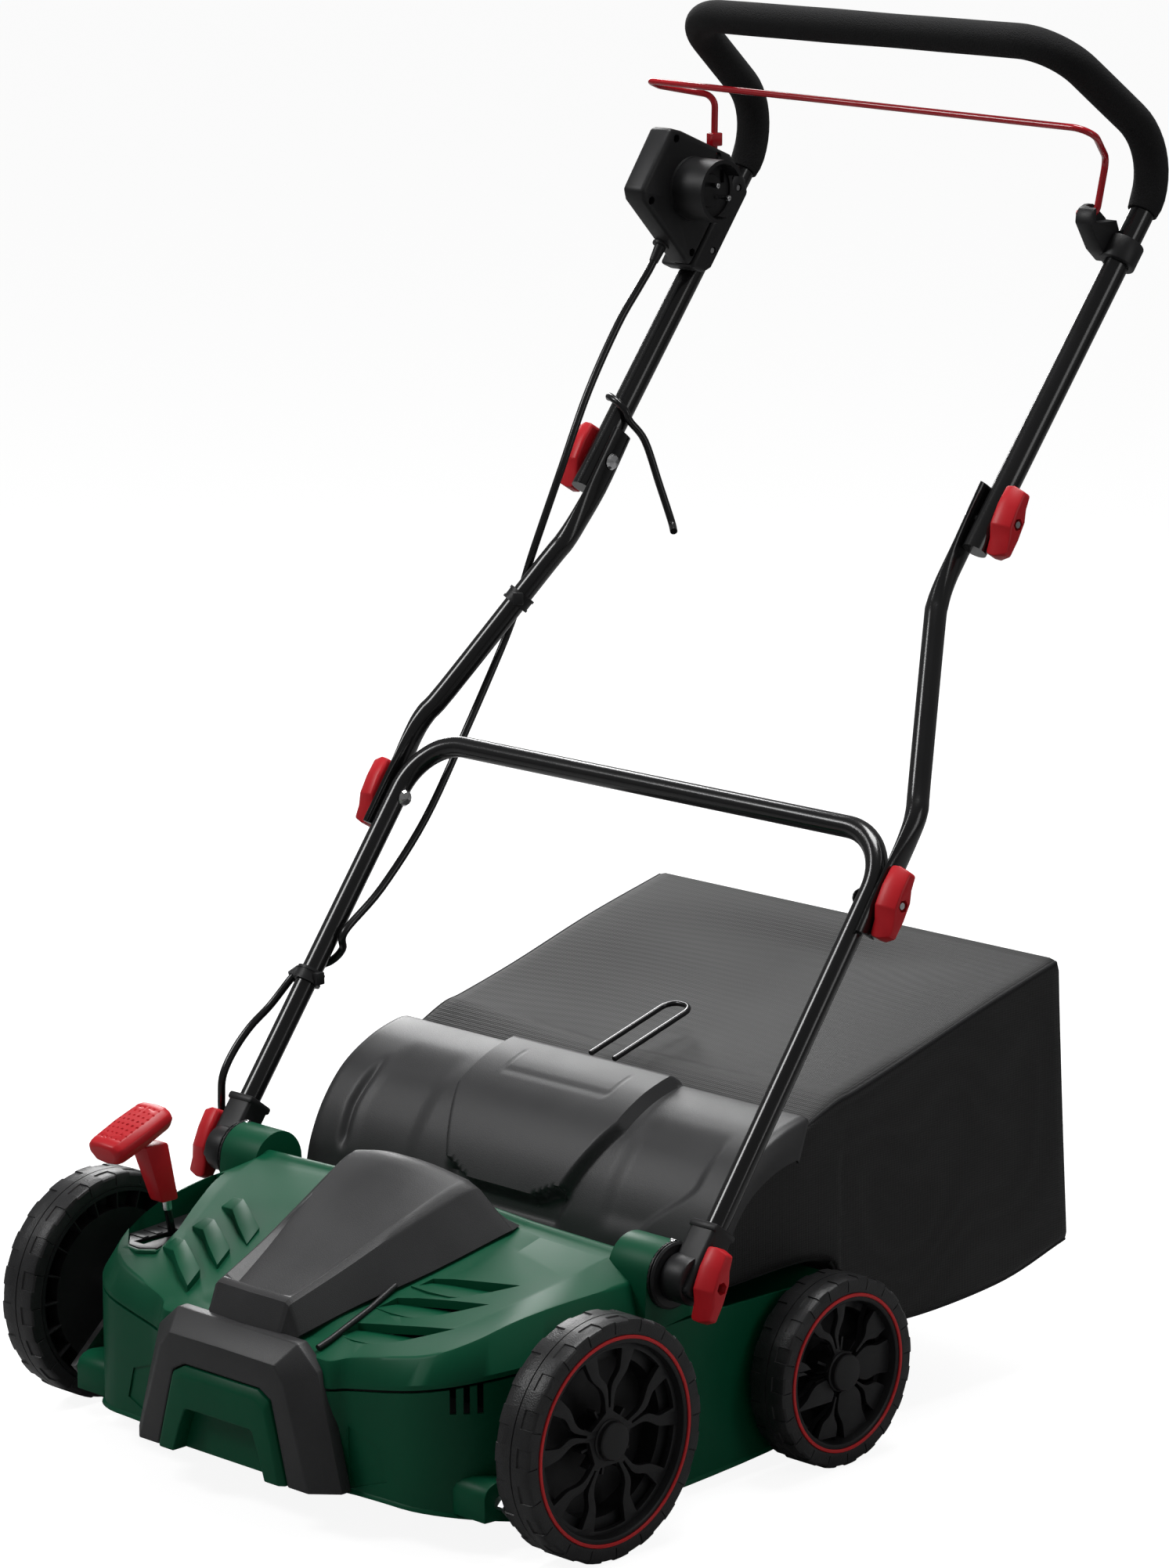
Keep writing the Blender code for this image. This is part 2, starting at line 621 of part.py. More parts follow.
def roller():
    shaft = rod(at(ROLLER, -0.2060), at(ROLLER, BELT_X - BELT_WIDTH / 2 - 0.0013), 0.009, 16)
    for k in range(BLADE_COUNT):
        x = (k - (BLADE_COUNT - 1) / 2) * BLADE_PITCH
        turn = math.radians(33 * k)
        arm = [(BLADE_R, -0.004), (BLADE_R, 0.004), (0.020, 0.009), (0.0, 0.0165), (-0.020, 0.009),
               (-BLADE_R, 0.004), (-BLADE_R, -0.004), (-0.020, -0.009), (0.0, -0.0165), (0.020, -0.009)]
        outline = [(u * math.cos(turn) - v * math.sin(turn), u * math.sin(turn) + v * math.cos(turn))
                   for u, v in arm]
        shaft = fuse(shaft, flat([outline], 0.0025, side_plane(), at(ROLLER, x)))
    piece(shaft, "scarifier_roller", STEEL, "roller")
    piece(pulley(DRIVEN_R, ROLLER), "driven_pulley", BLACK, "roller")
    for name, x in (("left", -0.1995), ("right", 0.1965)):
        ring = turned([(0.018, 0.0035), (0.018, -0.0035), (0.0095, -0.0035), (0.0095, 0.0035)], 20, 1,
                      at(ROLLER, x))
        piece(ring, "roller_bearing_" + name, STEEL)


# ---- running gear ----
def rear_axle():
    end = REAR_WHEEL_X + 0.015
    piece(rod(at(REAR_AXLE, -end), at(REAR_AXLE, end), AXLE_R), "rear_axle", STEEL)


def front_axle():
    bar = rod(at(CRANK, -0.262), at(CRANK, 0.262), AXLE_R)
    for side in (-1, 1):
        reach = Vector(FRONT_AXLE) - Vector(CRANK)
        across = Vector((-reach.y, reach.x)).normalized() * 0.009
        ends = [Vector(CRANK) - reach * 0.09, Vector(FRONT_AXLE) + reach * 0.09]
        outline = [(ends[0] + across)[:], (ends[0] - across)[:], (ends[1] - across)[:],
                   (ends[1] + across)[:]]
        arm = flat([outline], 0.006, side_plane(), (CRANK_ARM_X * side, 0, 0))
        stub = rod(at(FRONT_AXLE, CRANK_ARM_X * side),
                   at(FRONT_AXLE, (FRONT_WHEEL_X + 0.015) * side), AXLE_R)
        bar = fuse(bar, arm, stub)
    piece(bar, "front_crank_axle", STEEL, "crank")


def depth_lever():
    top = (LEVER_X, -0.0185, 0.1975)
    path = fillet([(LEVER_X, *LEVER_PIVOT), (LEVER_X, -0.0120, 0.164), top], 0.004, 2)
    piece(wire(path, 0.0035), "depth_lever_rod", PAINT, "lever")
    neck = block((LEVER_X - 0.009, -0.032, 0.200), (LEVER_X + 0.009, -0.010, 0.256), CUTTERS)
    shear = Matrix.Identity(4)
    shear[1][2] = -0.30
    neck.data.transform(Matrix.Translation((0, 0, 0.200)) @ shear @ Matrix.Translation((0, 0, -0.200)))
    bar = block((LEVER_X - 0.020, -0.102, 0.2520), (LEVER_X + 0.020, -0.012, 0.2720))
    bar.data.transform(Matrix.Translation((0, -0.057, 0.262)) @ Matrix.Rotation(math.radians(9), 4, "X")
                       @ Matrix.Translation((0, 0.057, -0.262)))
    handle = bevel(fuse(bar, neck), 0.004, 2)
    piece(handle, "depth_lever_handle", RED, "lever")


# ---- handle ----
def knob(name, group, pivot, x_inner, side, lean):
    half, thick = 0.031, 0.021
    shape = [(-half, -0.008), (-0.010, -0.0135), (0.010, -0.0135), (half, -0.006), (half, 0.008),
             (0.010, 0.0135), (-0.010, 0.0135), (-half, 0.006)]
    turned_shape = [(u * math.cos(lean) - v * math.sin(lean), u * math.sin(lean) + v * math.cos(lean))
                    for u, v in shape]
    centre = at(pivot, side * (x_inner + thick / 2))
    wing = flat([turned_shape, circle(0.0062, 6)], thick, side_plane(), centre)
    piece(bevel(wing, 0.002, 1), name, RED, group)


def bolt(pivot, x_head, x_end, side, head=0.0075, shank=0.0030):
    """A round-headed carriage bolt whose shank runs outwards from its head."""
    high, low = x_end, x_head
    profile = [(0, high), (shank, high), (shank, low + 0.0035), (head, low + 0.0035),
               (head * 0.8, low + 0.0012), (0, low)]
    return turned(profile, 12, side, at(pivot), closed=False)


def pivot_hardware(side, name):
    """The ratchet disc with the stud that the knob clamps, and the bracket that holds the bow."""
    disc = turned([(0.026, 0.2615), (0.028, 0.2590), (0.028, 0.2558), (0.0030, 0.2558),
                   (0.0030, 0.2615)], 24, side, at(LOWER_PIVOT))
    stud = bolt(LOWER_PIVOT, 0.2365, 0.3090, side, 0.0040, 0.0039)
    piece(fuse(stud, disc), "ratchet_disc_" + name, BLACK)
    low, high = sorted((0.2620 * side, 0.2915 * side))
    lean = math.atan2(MID_PIVOT[0] - LOWER_PIVOT[0], MID_PIVOT[1] - LOWER_PIVOT[1])
    shell = block((low, -0.0140, -0.022), (high, 0.0140, 0.048))
    shell.data.transform(Matrix.Translation(at(LOWER_PIVOT)) @ Matrix.Rotation(-lean, 4, "X"))
    shell = bevel(shell, 0.004, 2)
    socket = rod(along_tube(LOWER_PIVOT, MID_PIVOT, 0.0175, LEG_X * side),
                 along_tube(LOWER_PIVOT, MID_PIVOT, 0.060, LEG_X * side), LEG_R + GAP, 20)
    hole = rod(at(LOWER_PIVOT, 0.25 * side), at(LOWER_PIVOT, 0.30 * side), 0.0043, 12)
    piece(cut(shell, socket, hole), "bow_bracket_" + name, BLACK, "lower_handle")


def lower_bow():
    ends = [along_tube(LOWER_PIVOT, MID_PIVOT, 0.0180, LEG_X * side) for side in (-1, 1)]
    corners = [along_tube(MID_PIVOT, UPPER_PIVOT, 0.058, LEG_X * side) for side in (-1, 1)]
    bow = wire(fillet([ends[0], corners[0], corners[1], ends[1]], 0.052, 8), LEG_R, resolution=4)
    for side in (-1, 1):
        bow = cut(bow, rod(at(MID_PIVOT, 0.25 * side), at(MID_PIVOT, 0.30 * side), 0.0034, 12))
    piece(bow, "lower_handle_bow", PAINT, "lower_handle")


def mid_tube(side, name):
    start = along_tube(LOWER_PIVOT, MID_PIVOT, 0.351 - 0.030, MID_LOW_X)
    near = along_tube(MID_PIVOT, UPPER_PIVOT, 0.024, MID_LOW_X)
    far = along_tube(MID_PIVOT, UPPER_PIVOT, 0.3505 - 0.024, MID_TOP_X)
    end = along_tube(MID_PIVOT, UPPER_PIVOT, 0.3505 + 0.030, MID_TOP_X)
    stations = [(start, 0.0120, 0.0034), (near, 0.0122, 0.0036),
                ((0.2930, 0.3720, 0.5270), 0.0105, 0.0070), ((0.2900, 0.3850, 0.5450), LEG_R, LEG_R),
                ((0.2790, 0.4010, 0.5660), LEG_R, LEG_R), ((0.2280, 0.4760, 0.6770), LEG_R, LEG_R),
                ((0.2195, 0.4900, 0.6960), LEG_R, LEG_R), ((0.2160, 0.5050, 0.7150), 0.0105, 0.0070),
                (far, 0.0122, 0.0034), (end, 0.0120, 0.0034)]
    placed = [(Vector((centre[0] * side, centre[1], centre[2])), across, thick)
              for centre, across, thick in stations]
    tube = oval_bar(placed)
    tube = cut(tube, rod(at(MID_PIVOT, 0.27 * side), at(MID_PIVOT, 0.31 * side), 0.0034, 12),
               rod(at(UPPER_PIVOT, 0.20 * side), at(UPPER_PIVOT, 0.23 * side), 0.0034, 12))
    piece(tube, name, PAINT, "mid_handle")


def joint_hardware(side, name):
    """The carriage bolt and the wing knob at each of the three joints on one side."""
    piece(bolt(MID_PIVOT, 0.2655, 0.3165, side), "mid_joint_bolt_" + name, STEEL, "lower_handle")
    piece(bolt(UPPER_PIVOT, 0.2070, 0.2625, side), "upper_joint_bolt_" + name, STEEL, "mid_handle")
    for level, pivot, x_inner, lean in (
            ("lower", LOWER_PIVOT, 0.2920, 1.15),
            ("mid", MID_PIVOT, 0.2970, 1.05),
            ("upper", UPPER_PIVOT, 0.2420, 1.05)):
        knob(level + "_knob_" + name, level + "_knob_" + name, pivot, x_inner, side, lean)


def handle_route():
    """The centre line of the upper handle, from its left foot over the grip to its right foot."""
    half = [(UPPER_X, 0.5245, 0.7390), (0.2335, 0.7730, 1.0530), (0.2130, 0.6410, 1.1560)]
    return [(-x, y, z) for x, y, z in half] + list(reversed(half))


def upper_handle():
    route = fillet(handle_route(), (0.058, 0.046, 0.046, 0.058), 6)
    tube = wire(route, UPPER_R, resolution=4)
    for side in (-1, 1):
        tube = cut(tube, rod(at(UPPER_PIVOT, 0.21 * side), at(UPPER_PIVOT, 0.25 * side), 0.0034, 12))
    piece(tube, "upper_handle_tube", PAINT, "upper_handle")
    sleeve = wire(route[1:-1], UPPER_R + 0.0004, resolution=4, capped=False)
    solid = sleeve.modifiers.new("wall", "SOLIDIFY")
    solid.thickness = GRIP_R - UPPER_R - 0.0004
    solid.offset = 1.0
    piece(bake(sleeve), "foam_grip", FOAM, "upper_handle")


# ---- switch box, bail and lead ----
BOX_FRONT = [(0.612, 1.057), (0.628, 1.053), (0.692, 1.027), (0.7026, 1.0150), (0.6386, 0.9306),
             (0.578, 0.994), (0.575, 1.004)]
BOX_BACK = [(0.7032, 1.0142), (0.712, 1.003), (0.715, 0.992), (0.666, 0.927), (0.655, 0.923),
            (0.6392, 0.9298)]


def switch_box():
    """The box on the left tube: a front half with the inlet and a back half that saddles the tube."""
    start, bend = (Vector((-x, y, z)) for x, y, z in reversed(handle_route()[-2:]))
    tube_room = UPPER_R + 0.0005
    outline = flat([BOX_FRONT], BOX_IN - BOX_OUT, side_plane(), ((BOX_IN + BOX_OUT) / 2, 0, 0))
    main = bevel(outline, 0.004, 2)
    main = fuse(main, rod((BOX_IN - 0.010, *INLET), (-0.168, *INLET), 0.0285, 32))
    mouth = rod((INLET_FLOOR, *INLET), (-0.150, *INLET), 0.0250, 32)
    notch = block((INLET_FLOOR, INLET[0] + 0.008, 0.9600), (-0.150, 0.690, INLET[1] + 0.012))
    slot = block((-0.2185, 0.655, 1.000), (-0.2095, 0.700, 1.070))
    button_hole = rod((-0.270, 0.600, 1.010), (-0.2140, 0.600, 1.010), 0.0068, 16)
    main = cut(main, rod(start, bend, tube_room, 20), mouth, notch, slot, button_hole)
    piece(main, "switch_box_body", BLACK, "upper_handle")
    saddle = flat([BOX_BACK], BOX_IN - SADDLE_OUT, side_plane(), ((BOX_IN + SADDLE_OUT) / 2, 0, 0))
    saddle = cut(bevel(saddle, 0.003, 1), rod(start, bend, tube_room, 20))
    piece(saddle, "switch_box_clamp", BLACK, "upper_handle")
    contacts = rod((INLET_FLOOR + GAP, *INLET), (INLET_FLOOR + GAP + 0.001, *INLET), 0.0150, 16)
    for s in (-1, 1):
        y, z = INLET[0] + 0.0073 * s, INLET[1] - 0.0061 * s
        contacts = fuse(contacts, rod((INLET_FLOOR + GAP + 0.0002, y, z), (-0.1660, y, z), 0.0024, 12))
    piece(contacts, "inlet_contacts", STEEL, "upper_handle")
    button = turned([(0, 0.016), (0.0060, 0.0155), (0.0062, 0.0150), (0.0062, 0.0), (0, 0.0)], 16, -1,
                    (-0.2190, 0.600, 1.010), closed=False)
    piece(button, "lock_button", RED, "lock")


def bail():
    path = fillet([(-0.2140, 0.6780, 1.0280), (-0.2140, 0.6790, 1.0805), (-0.2590, 0.6535, 1.0880),
                   (-0.2590, 0.6395, 1.0935), (0.2560, 0.6395, 1.0870), (0.2255, 0.6960, 1.0560),
                   at(BAIL_AXIS, 0.2220), at(BAIL_AXIS, 0.2020)],
                  (0.012, 0.006, 0.006, 0.014, 0.014, 0.0085), 4)
    piece(wire(path, BAIL_R), "start_bail", RED, "bail")


def bail_bearing():
    """The clip on the right-hand tube that the bail's end turns in."""
    y, z = BAIL_AXIS
    start, bend = Vector(handle_route()[-1]), Vector(handle_route()[-2])
    along = (bend - start).normalized()
    centre = start + along * ((z - 0.034 - start.z) / along.z)
    collar = rod(centre - along * 0.011, centre + along * 0.011, 0.0160, 20)
    outline = [(y - 0.013, z - 0.006), (y - 0.010, z + 0.006), (y + 0.004, z + 0.009),
               (y + 0.022, z - 0.005), (centre.y + 0.006, z - 0.020), (centre.y - 0.006, z - 0.042),
               (y + 0.002, z - 0.030)]
    arm = flat([outline], 0.018, side_plane(), (0.2180, 0, 0))
    clip = fuse(collar, arm)
    clip = cut(clip, rod(start, bend, UPPER_R + 0.0005, 20))
    clip = cut(clip, rod(at(BAIL_AXIS, 0.1950), at(BAIL_AXIS, 0.2300), BAIL_R + GAP, 12),
               block((0.2146, y - 0.020, z - 0.0060), (0.2300, y + 0.024, z + 0.020)))
    piece(bevel(clip, 0.001), "bail_bearing_clip", BLACK, "upper_handle")


# ---- lead, clips and cable hook ----
CABLE_POINTS = [
    (-0.2250, 0.6197, 0.9487), (-0.2250, 0.6070, 0.9310), (-0.2252, 0.5920, 0.9140),
    (-0.2255, 0.5650, 0.8830), (-0.2260, 0.5270, 0.8260), (-0.2290, 0.4960, 0.7600),
    (-0.2400, 0.4735, 0.6920), (-0.2485, 0.4705, 0.6650), (-0.2523, 0.4691, 0.6505),
    (-0.2533, 0.4669, 0.6429), (-0.2543, 0.4647, 0.6353), (-0.2590, 0.4500, 0.6000),
    (-0.2610, 0.4050, 0.5280), (-0.2620, 0.3560, 0.4570), (-0.2625, 0.3020, 0.4030),
    (-0.2628, 0.2574, 0.3717), (-0.2677, 0.2587, 0.3545), (-0.2790, 0.2552, 0.3421),
    (-0.2905, 0.2440, 0.3363), (-0.2937, 0.2334, 0.3345), (-0.2950, 0.2290, 0.3320),
    (-0.2965, 0.2239, 0.3293), (-0.3060, 0.2070, 0.3060), (-0.3110, 0.1870, 0.2890),
    (-0.3140, 0.1700, 0.2700), (-0.3140, 0.1570, 0.2510), (-0.3140, 0.1545, 0.2330),
    (-0.3135, 0.1560, 0.2140), (-0.3020, 0.1620, 0.1970), (-0.2820, 0.1660, 0.1890),
    (-0.2620, 0.1650, 0.1850), (-0.2420, 0.1600, 0.1810)]
UPPER_CLIP, UPPER_EYE = Vector((-0.2423, 0.4550, 0.6459)), 9
LOWER_CLIP, LOWER_EYE = Vector((-LEG_X, 0.2285, 0.3330)), 20
MID_TUBE_HEADING, LEG_HEADING = Vector((0.3556, 0.5230, 0.7740)), Vector((0.0, 0.5979, 0.8016))
CABLE_ROUTE = smooth_path(CABLE_POINTS, 3)


def lead():
    piece(wire(CABLE_ROUTE, CABLE_R, resolution=2), "power_lead", BLACK)


def cable_clip(name, group, centre, along, eye_index):
    """A band round a tube with an eye that holds the lead beside it."""
    before, point, after = (Vector(p) for p in CABLE_POINTS[eye_index - 1:eye_index + 2])
    heading = (after - before).normalized()
    band = rod(centre - along * 0.006, centre + along * 0.006, LEG_R + 0.0030, 20)
    eye = rod(point - heading * 0.005, point + heading * 0.005, CABLE_R + 0.0032, 12)
    clip = fuse(band, eye)
    clip = cut(clip, rod(centre - along * 0.02, centre + along * 0.02, LEG_R + 0.0004, 20),
               rod(point - heading * 0.02, point + heading * 0.02, CABLE_R + 0.0013, 12))
    piece(clip, name, BLACK, group)


def cable_hook():
    """The bent bar on the left tube that takes the pull of the user's cable."""
    start, bend = Vector(handle_route()[0]), Vector(handle_route()[1])
    along = (bend - start).normalized()
    front = Vector((0, -along.z, along.y))
    centre = start + along * ((0.800 - start.z) / along.z)
    reach = UPPER_R + 0.0050
    path = []
    for turn, lift in ((150, 0.012), (120, 0.010), (90, 0.007), (60, 0.004), (30, 0.000), (0, -0.005)):
        side = Vector((math.cos(math.radians(turn)), 0, 0)) + front * math.sin(math.radians(turn))
        path.append(centre + side * reach + along * lift)
    path += [Vector(p) for p in ((-0.2060, 0.5800, 0.7780), (-0.1930, 0.5850, 0.7400),
                                 (-0.1800, 0.5870, 0.7080), (-0.1700, 0.5800, 0.7000))]
    piece(wire(smooth_path(path, 2), 0.0035), "cable_hook", BLACK, "hook")


# ---- flap and bag ----
FLAP_PROFILE = [(0.1860, 0.1720), (0.1930, 0.2020), (0.2090, 0.2340), (0.2340, 0.2620), (0.2680, 0.2810),
                (0.3020, 0.2900), (0.3100, 0.2860)]


def rear_flap():
    rows = []
    for index, (y, z) in enumerate(FLAP_PROFILE):
        lean = math.radians(170 - index * 17)
        rise_y, rise_z = 0.010 * math.cos(lean), 0.010 * math.sin(lean)
        half = 0.068 + 0.026 * min(1.0, index / 4)
        if index in (0, 6):
            rise_y = rise_z = 0.0
        end_y = y + (0.240 - y) * 0.25
        end_z = z - 0.006 - 0.30 * max(0.0, z - 0.200)
        rows.append([(0.0, y + rise_y, z + rise_z), (half, y + rise_y, z + rise_z),
                     (half + 0.012, y, z), (0.236, y, z),
                     (0.244, y + (end_y - y) * 0.3, z - 0.004), (0.246, end_y, end_z)])
    piece(sheet(rows, 0.0028), "rear_flap", DARK, "flap")
    piece(rod(at(FLAP_AXIS, -0.2465), at(FLAP_AXIS, 0.2465), 0.0030, 12), "flap_hinge_pin", STEEL)
    turns, steps = 4, 10
    coil = [(-0.010 + 0.020 * k / (turns * steps),
             FLAP_AXIS[0] + 0.0048 * math.cos(math.tau * k / steps),
             FLAP_AXIS[1] + 0.0048 * math.sin(math.tau * k / steps)) for k in range(turns * steps + 1)]
    piece(wire(coil, 0.0010, resolution=1), "flap_spring", STEEL)


BAG_STATIONS = [((0.309, 0.2790), (0.209, 0.158), 0.236), ((0.350, 0.2960), (0.336, 0.156), 0.238),
                ((0.375, 0.3010), (0.362, 0.105), 0.238), ((0.440, 0.3170), (0.430, 0.082), 0.238),
                ((0.540, 0.3440), (0.560, 0.086), 0.240), ((0.634, 0.3660), (0.652, 0.106), 0.240)]


def bag():
    """The fabric bag as a shell, open at its front and under it, where the chute leads in."""
    bm = bmesh.new()
    rings = []
    for top, bottom, half in BAG_STATIONS:
        low_y, high_y = bottom[0], top[0]
        rings.append([bm.verts.new(p) for p in (
            (-half, low_y, bottom[1]), (half, low_y, bottom[1]), (half, high_y, top[1]),
            (-half, high_y, top[1]))])
    floor = 0
    for index, (first, second) in enumerate(zip(rings, rings[1:])):
        for k in range(4):
            if index == 0 and k == floor:
                continue
            n = (k + 1) % 4
            bm.faces.new((first[k], first[n], second[n], second[k]))
    bm.faces.new(rings[-1])
    bmesh.ops.recalc_face_normals(bm, faces=bm.faces)
    obj = mesh_object("catch_bag", bm)
    solid = obj.modifiers.new("wall", "SOLIDIFY")
    solid.thickness = 0.003
    solid.offset = -1.0
    solid.use_even_offset = True
    piece(bake(obj), "catch_bag", MESH, "bag")


def bag_frame():
    """The wire inside the bag's mouth, with the loop that the bag is lifted by."""
    y, z = 0.330, 0.2965
    path = fillet([(-0.014, y - 0.018, z), (-0.014, 0.4120, 0.3240), (0.014, 0.4120, 0.3240),
                   (0.014, y - 0.018, z)], 0.012, 4)
    piece(wire(path, 0.0025), "bag_handle_loop", PAINT, "bag")


def build():
    for name, side in (("left", -1), ("right", 1)):
        wheel("front_wheel_" + name, "front_wheel_" + name, FRONT_R, FRONT_WHEEL_X, FRONT_AXLE, side)
        wheel("rear_wheel_" + name, "rear_wheel_" + name, REAR_R, REAR_WHEEL_X, REAR_AXLE, side)
        pivot_hardware(side, name)
        mid_tube(side, "mid_tube_" + name)
        joint_hardware(side, name)
    lower_deck()
    upper_deck()
    gate_plate()
    motor_hood()
    front_trim()
    tunnel_cover()
    motor()
    drive_belt()
    roller()
    rear_axle()
    front_axle()
    depth_lever()
    lower_bow()
    upper_handle()
    switch_box()
    bail()
    bail_bearing()
    lead()
    cable_clip("cable_clip_upper", "mid_handle", UPPER_CLIP, MID_TUBE_HEADING, UPPER_EYE)
    cable_clip("cable_clip_lower", "lower_handle", LOWER_CLIP, LEG_HEADING, LOWER_EYE)
    cable_hook()
    rear_flap()
    bag()
    bag_frame()


build()
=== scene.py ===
"""The looks of the electric lawn dethatcher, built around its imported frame.

Pieces are drawn in machine coordinates: metres, +Z up, y = 0 at the front axle, -Y to the
front. place() moves each one into the frame, where the front wheels' joint gives the shift.
"""
import json
import math

import bmesh
import bpy
from mathutils import Matrix, Vector, noise


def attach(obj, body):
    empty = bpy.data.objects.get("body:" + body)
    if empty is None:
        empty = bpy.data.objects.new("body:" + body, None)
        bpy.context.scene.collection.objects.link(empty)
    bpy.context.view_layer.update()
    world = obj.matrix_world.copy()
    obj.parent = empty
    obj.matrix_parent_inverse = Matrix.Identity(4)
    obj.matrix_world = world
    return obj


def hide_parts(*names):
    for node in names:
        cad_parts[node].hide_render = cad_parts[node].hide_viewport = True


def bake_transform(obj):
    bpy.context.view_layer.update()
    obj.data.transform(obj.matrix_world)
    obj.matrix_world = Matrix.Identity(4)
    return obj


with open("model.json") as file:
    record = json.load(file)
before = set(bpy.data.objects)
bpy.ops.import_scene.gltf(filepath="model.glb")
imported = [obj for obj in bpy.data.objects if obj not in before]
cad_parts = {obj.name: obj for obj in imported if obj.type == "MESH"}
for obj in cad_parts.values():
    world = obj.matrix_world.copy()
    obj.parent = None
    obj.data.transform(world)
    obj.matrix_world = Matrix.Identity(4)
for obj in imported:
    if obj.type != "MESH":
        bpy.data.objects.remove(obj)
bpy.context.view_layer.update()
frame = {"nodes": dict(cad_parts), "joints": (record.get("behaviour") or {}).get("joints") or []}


JOINTS = {joint["name"]: joint for joint in frame["joints"]}
SHIFT = Vector((0, JOINTS["front_wheel_left_spin"]["pos_m"][1], 0))


def pivot(joint):
    """A joint's point as (y, z) in machine coordinates."""
    point = Vector(JOINTS[joint]["pos_m"]) - SHIFT
    return (point.y, point.z)


# ---- driving dimensions ----
FRONT_R, REAR_R, WHEEL_HALF = 0.100, 0.0815, 0.019
FRONT_X = abs(JOINTS["front_wheel_right_spin"]["pos_m"][0])
REAR_X = abs(JOINTS["rear_wheel_right_spin"]["pos_m"][0])
FRONT_AXLE, REAR_AXLE = pivot("front_wheel_left_spin"), pivot("rear_wheel_left_spin")
LOWER, MID, UPPER = pivot("handle_fold"), pivot("mid_fold"), pivot("upper_fold")
BAIL = pivot("bail_swing")
LEVER_X = JOINTS["depth_lever_swing"]["pos_m"][0]
LEVER = pivot("depth_lever_swing")
LEG_X, LEG_R = 0.279, 0.0095
UPPER_X, UPPER_R, GRIP_R = 0.230, 0.011, 0.015
BAIL_R, LEAD_R = 0.003, 0.0035
MID_LOW_X, MID_TOP_X = 0.2925, 0.2146
BOX_IN, BOX_OUT, SADDLE_OUT = -0.205, -0.231, -0.246
INLET = (0.640, 1.0005)
INLET_FLOOR = -0.184
FIT = 0.0002             # between a tube and what is clamped on it
DECK_WALL, FLAP_WALL, CLOTH = 0.0030, 0.0026, 0.0018
HOOK_R, LOOP_R, PIPING_R, LEVER_R = 0.0034, 0.0025, 0.0022, 0.0035


# ---- camera, light and floor ----
WHITE = (1.0, 1.0, 1.0, 1.0)
LENS_MM = 133.1
EYE = Vector((3.34838, -3.15688, 1.59815))
SIGHT = ((0.7173, 0.6968, 0.0), (-0.1499, 0.1543, 0.9767), (0.6805, -0.7005, 0.2151))  # right, up, back
MIDDLE_HEIGHT = 0.35     # where the lights point
FLOOR_HALF = 12
AMBIENT = 0.16           # how strongly the white surroundings light the machine
FLOOR_GLOW = 0.91        # how bright the camera sees the floor, beside surroundings of 1.0


def linked(name, data):
    """A new object in the scene that holds this data."""
    made = bpy.data.objects.new(name, data)
    bpy.context.scene.collection.objects.link(made)
    return made


def feed(tree, target, inputs):
    """Fills a node's inputs: from another node where a socket is given, else with the value."""
    for name, value in inputs.items():
        if isinstance(value, bpy.types.NodeSocket):
            tree.links.new(value, target.inputs[name])
        else:
            target.inputs[name].default_value = value


def node(tree, kind, output, inputs, operation=None):
    """The named output of a new node with its inputs filled."""
    made = tree.nodes.new("ShaderNode" + kind)
    if operation:
        made.operation = operation
    feed(tree, made, inputs)
    return made.outputs[output]


def brightness(tree, unseen, seen):
    """A strength that is one value for the camera's own rays and another for all others."""
    from_camera = node(tree, "LightPath", "Is Camera Ray", {})
    return node(tree, "MapRange", "Result", {"Value": from_camera, "To Min": unseen, "To Max": seen})


def camera():
    """The camera of the photo, fitted to the machine."""
    data = bpy.data.cameras.new("camera")
    data.lens = LENS_MM
    data.clip_end = 50
    view = linked("camera", data)
    turn = Matrix(SIGHT).transposed().to_4x4()
    view.matrix_world = Matrix.Translation(EYE + SHIFT) @ turn
    bpy.context.scene.camera = view


def soft_light(name, where, size, power):
    """An area light that points at the middle of the machine."""
    data = bpy.data.lights.new(name, "AREA")
    data.shape = "RECTANGLE"
    data.size, data.size_y = size
    data.energy = power
    light = linked(name, data)
    light.location = where
    aim = Vector((0, 0, MIDDLE_HEIGHT)) - Vector(where)
    light.rotation_euler = aim.to_track_quat("-Z", "Y").to_euler()


def studio():
    """White surroundings, four soft lights and a plain pale floor."""
    world = bpy.data.worlds.new("studio")
    world.use_nodes = True
    tree = world.node_tree
    feed(tree, tree.nodes["Background"], {"Color": WHITE, "Strength": brightness(tree, AMBIENT, 1.0)})
    bpy.context.scene.world = world
    bpy.context.scene.view_settings.view_transform = "Standard"
    soft_light("key", (-2.2, -2.4, 3.2), (1.2, 1.2), 52)
    soft_light("top", (-0.2, 0.6, 3.4), (1.4, 1.4), 78)
    soft_light("rim", (-2.6, 1.8, 2.0), (0.6, 2.2), 46)
    soft_light("fill", (3.2, 0.6, 1.6), (0.8, 2.0), 10)
    bm = bmesh.new()
    bmesh.ops.create_grid(bm, x_segments=1, y_segments=1, size=FLOOR_HALF)
    floor = mesh_object(bm, "floor")
    floor.data.materials.append(pale_floor())


# ---- materials ----
def new_material(name):
    """A material, its node tree and its shader."""
    made = bpy.data.materials.new(name)
    made.use_nodes = True
    return made, made.node_tree, made.node_tree.nodes["Principled BSDF"]


def two_colours(tree, factor, low, high):
    """Blends between two colours, each given as (position, colour)."""
    made = tree.nodes.new("ShaderNodeValToRGB")
    for stop, (position, colour) in zip(made.color_ramp.elements, (low, high)):
        stop.position = position
        stop.color = (*colour, 1)
    tree.links.new(factor, made.inputs["Fac"])
    return made.outputs["Color"]


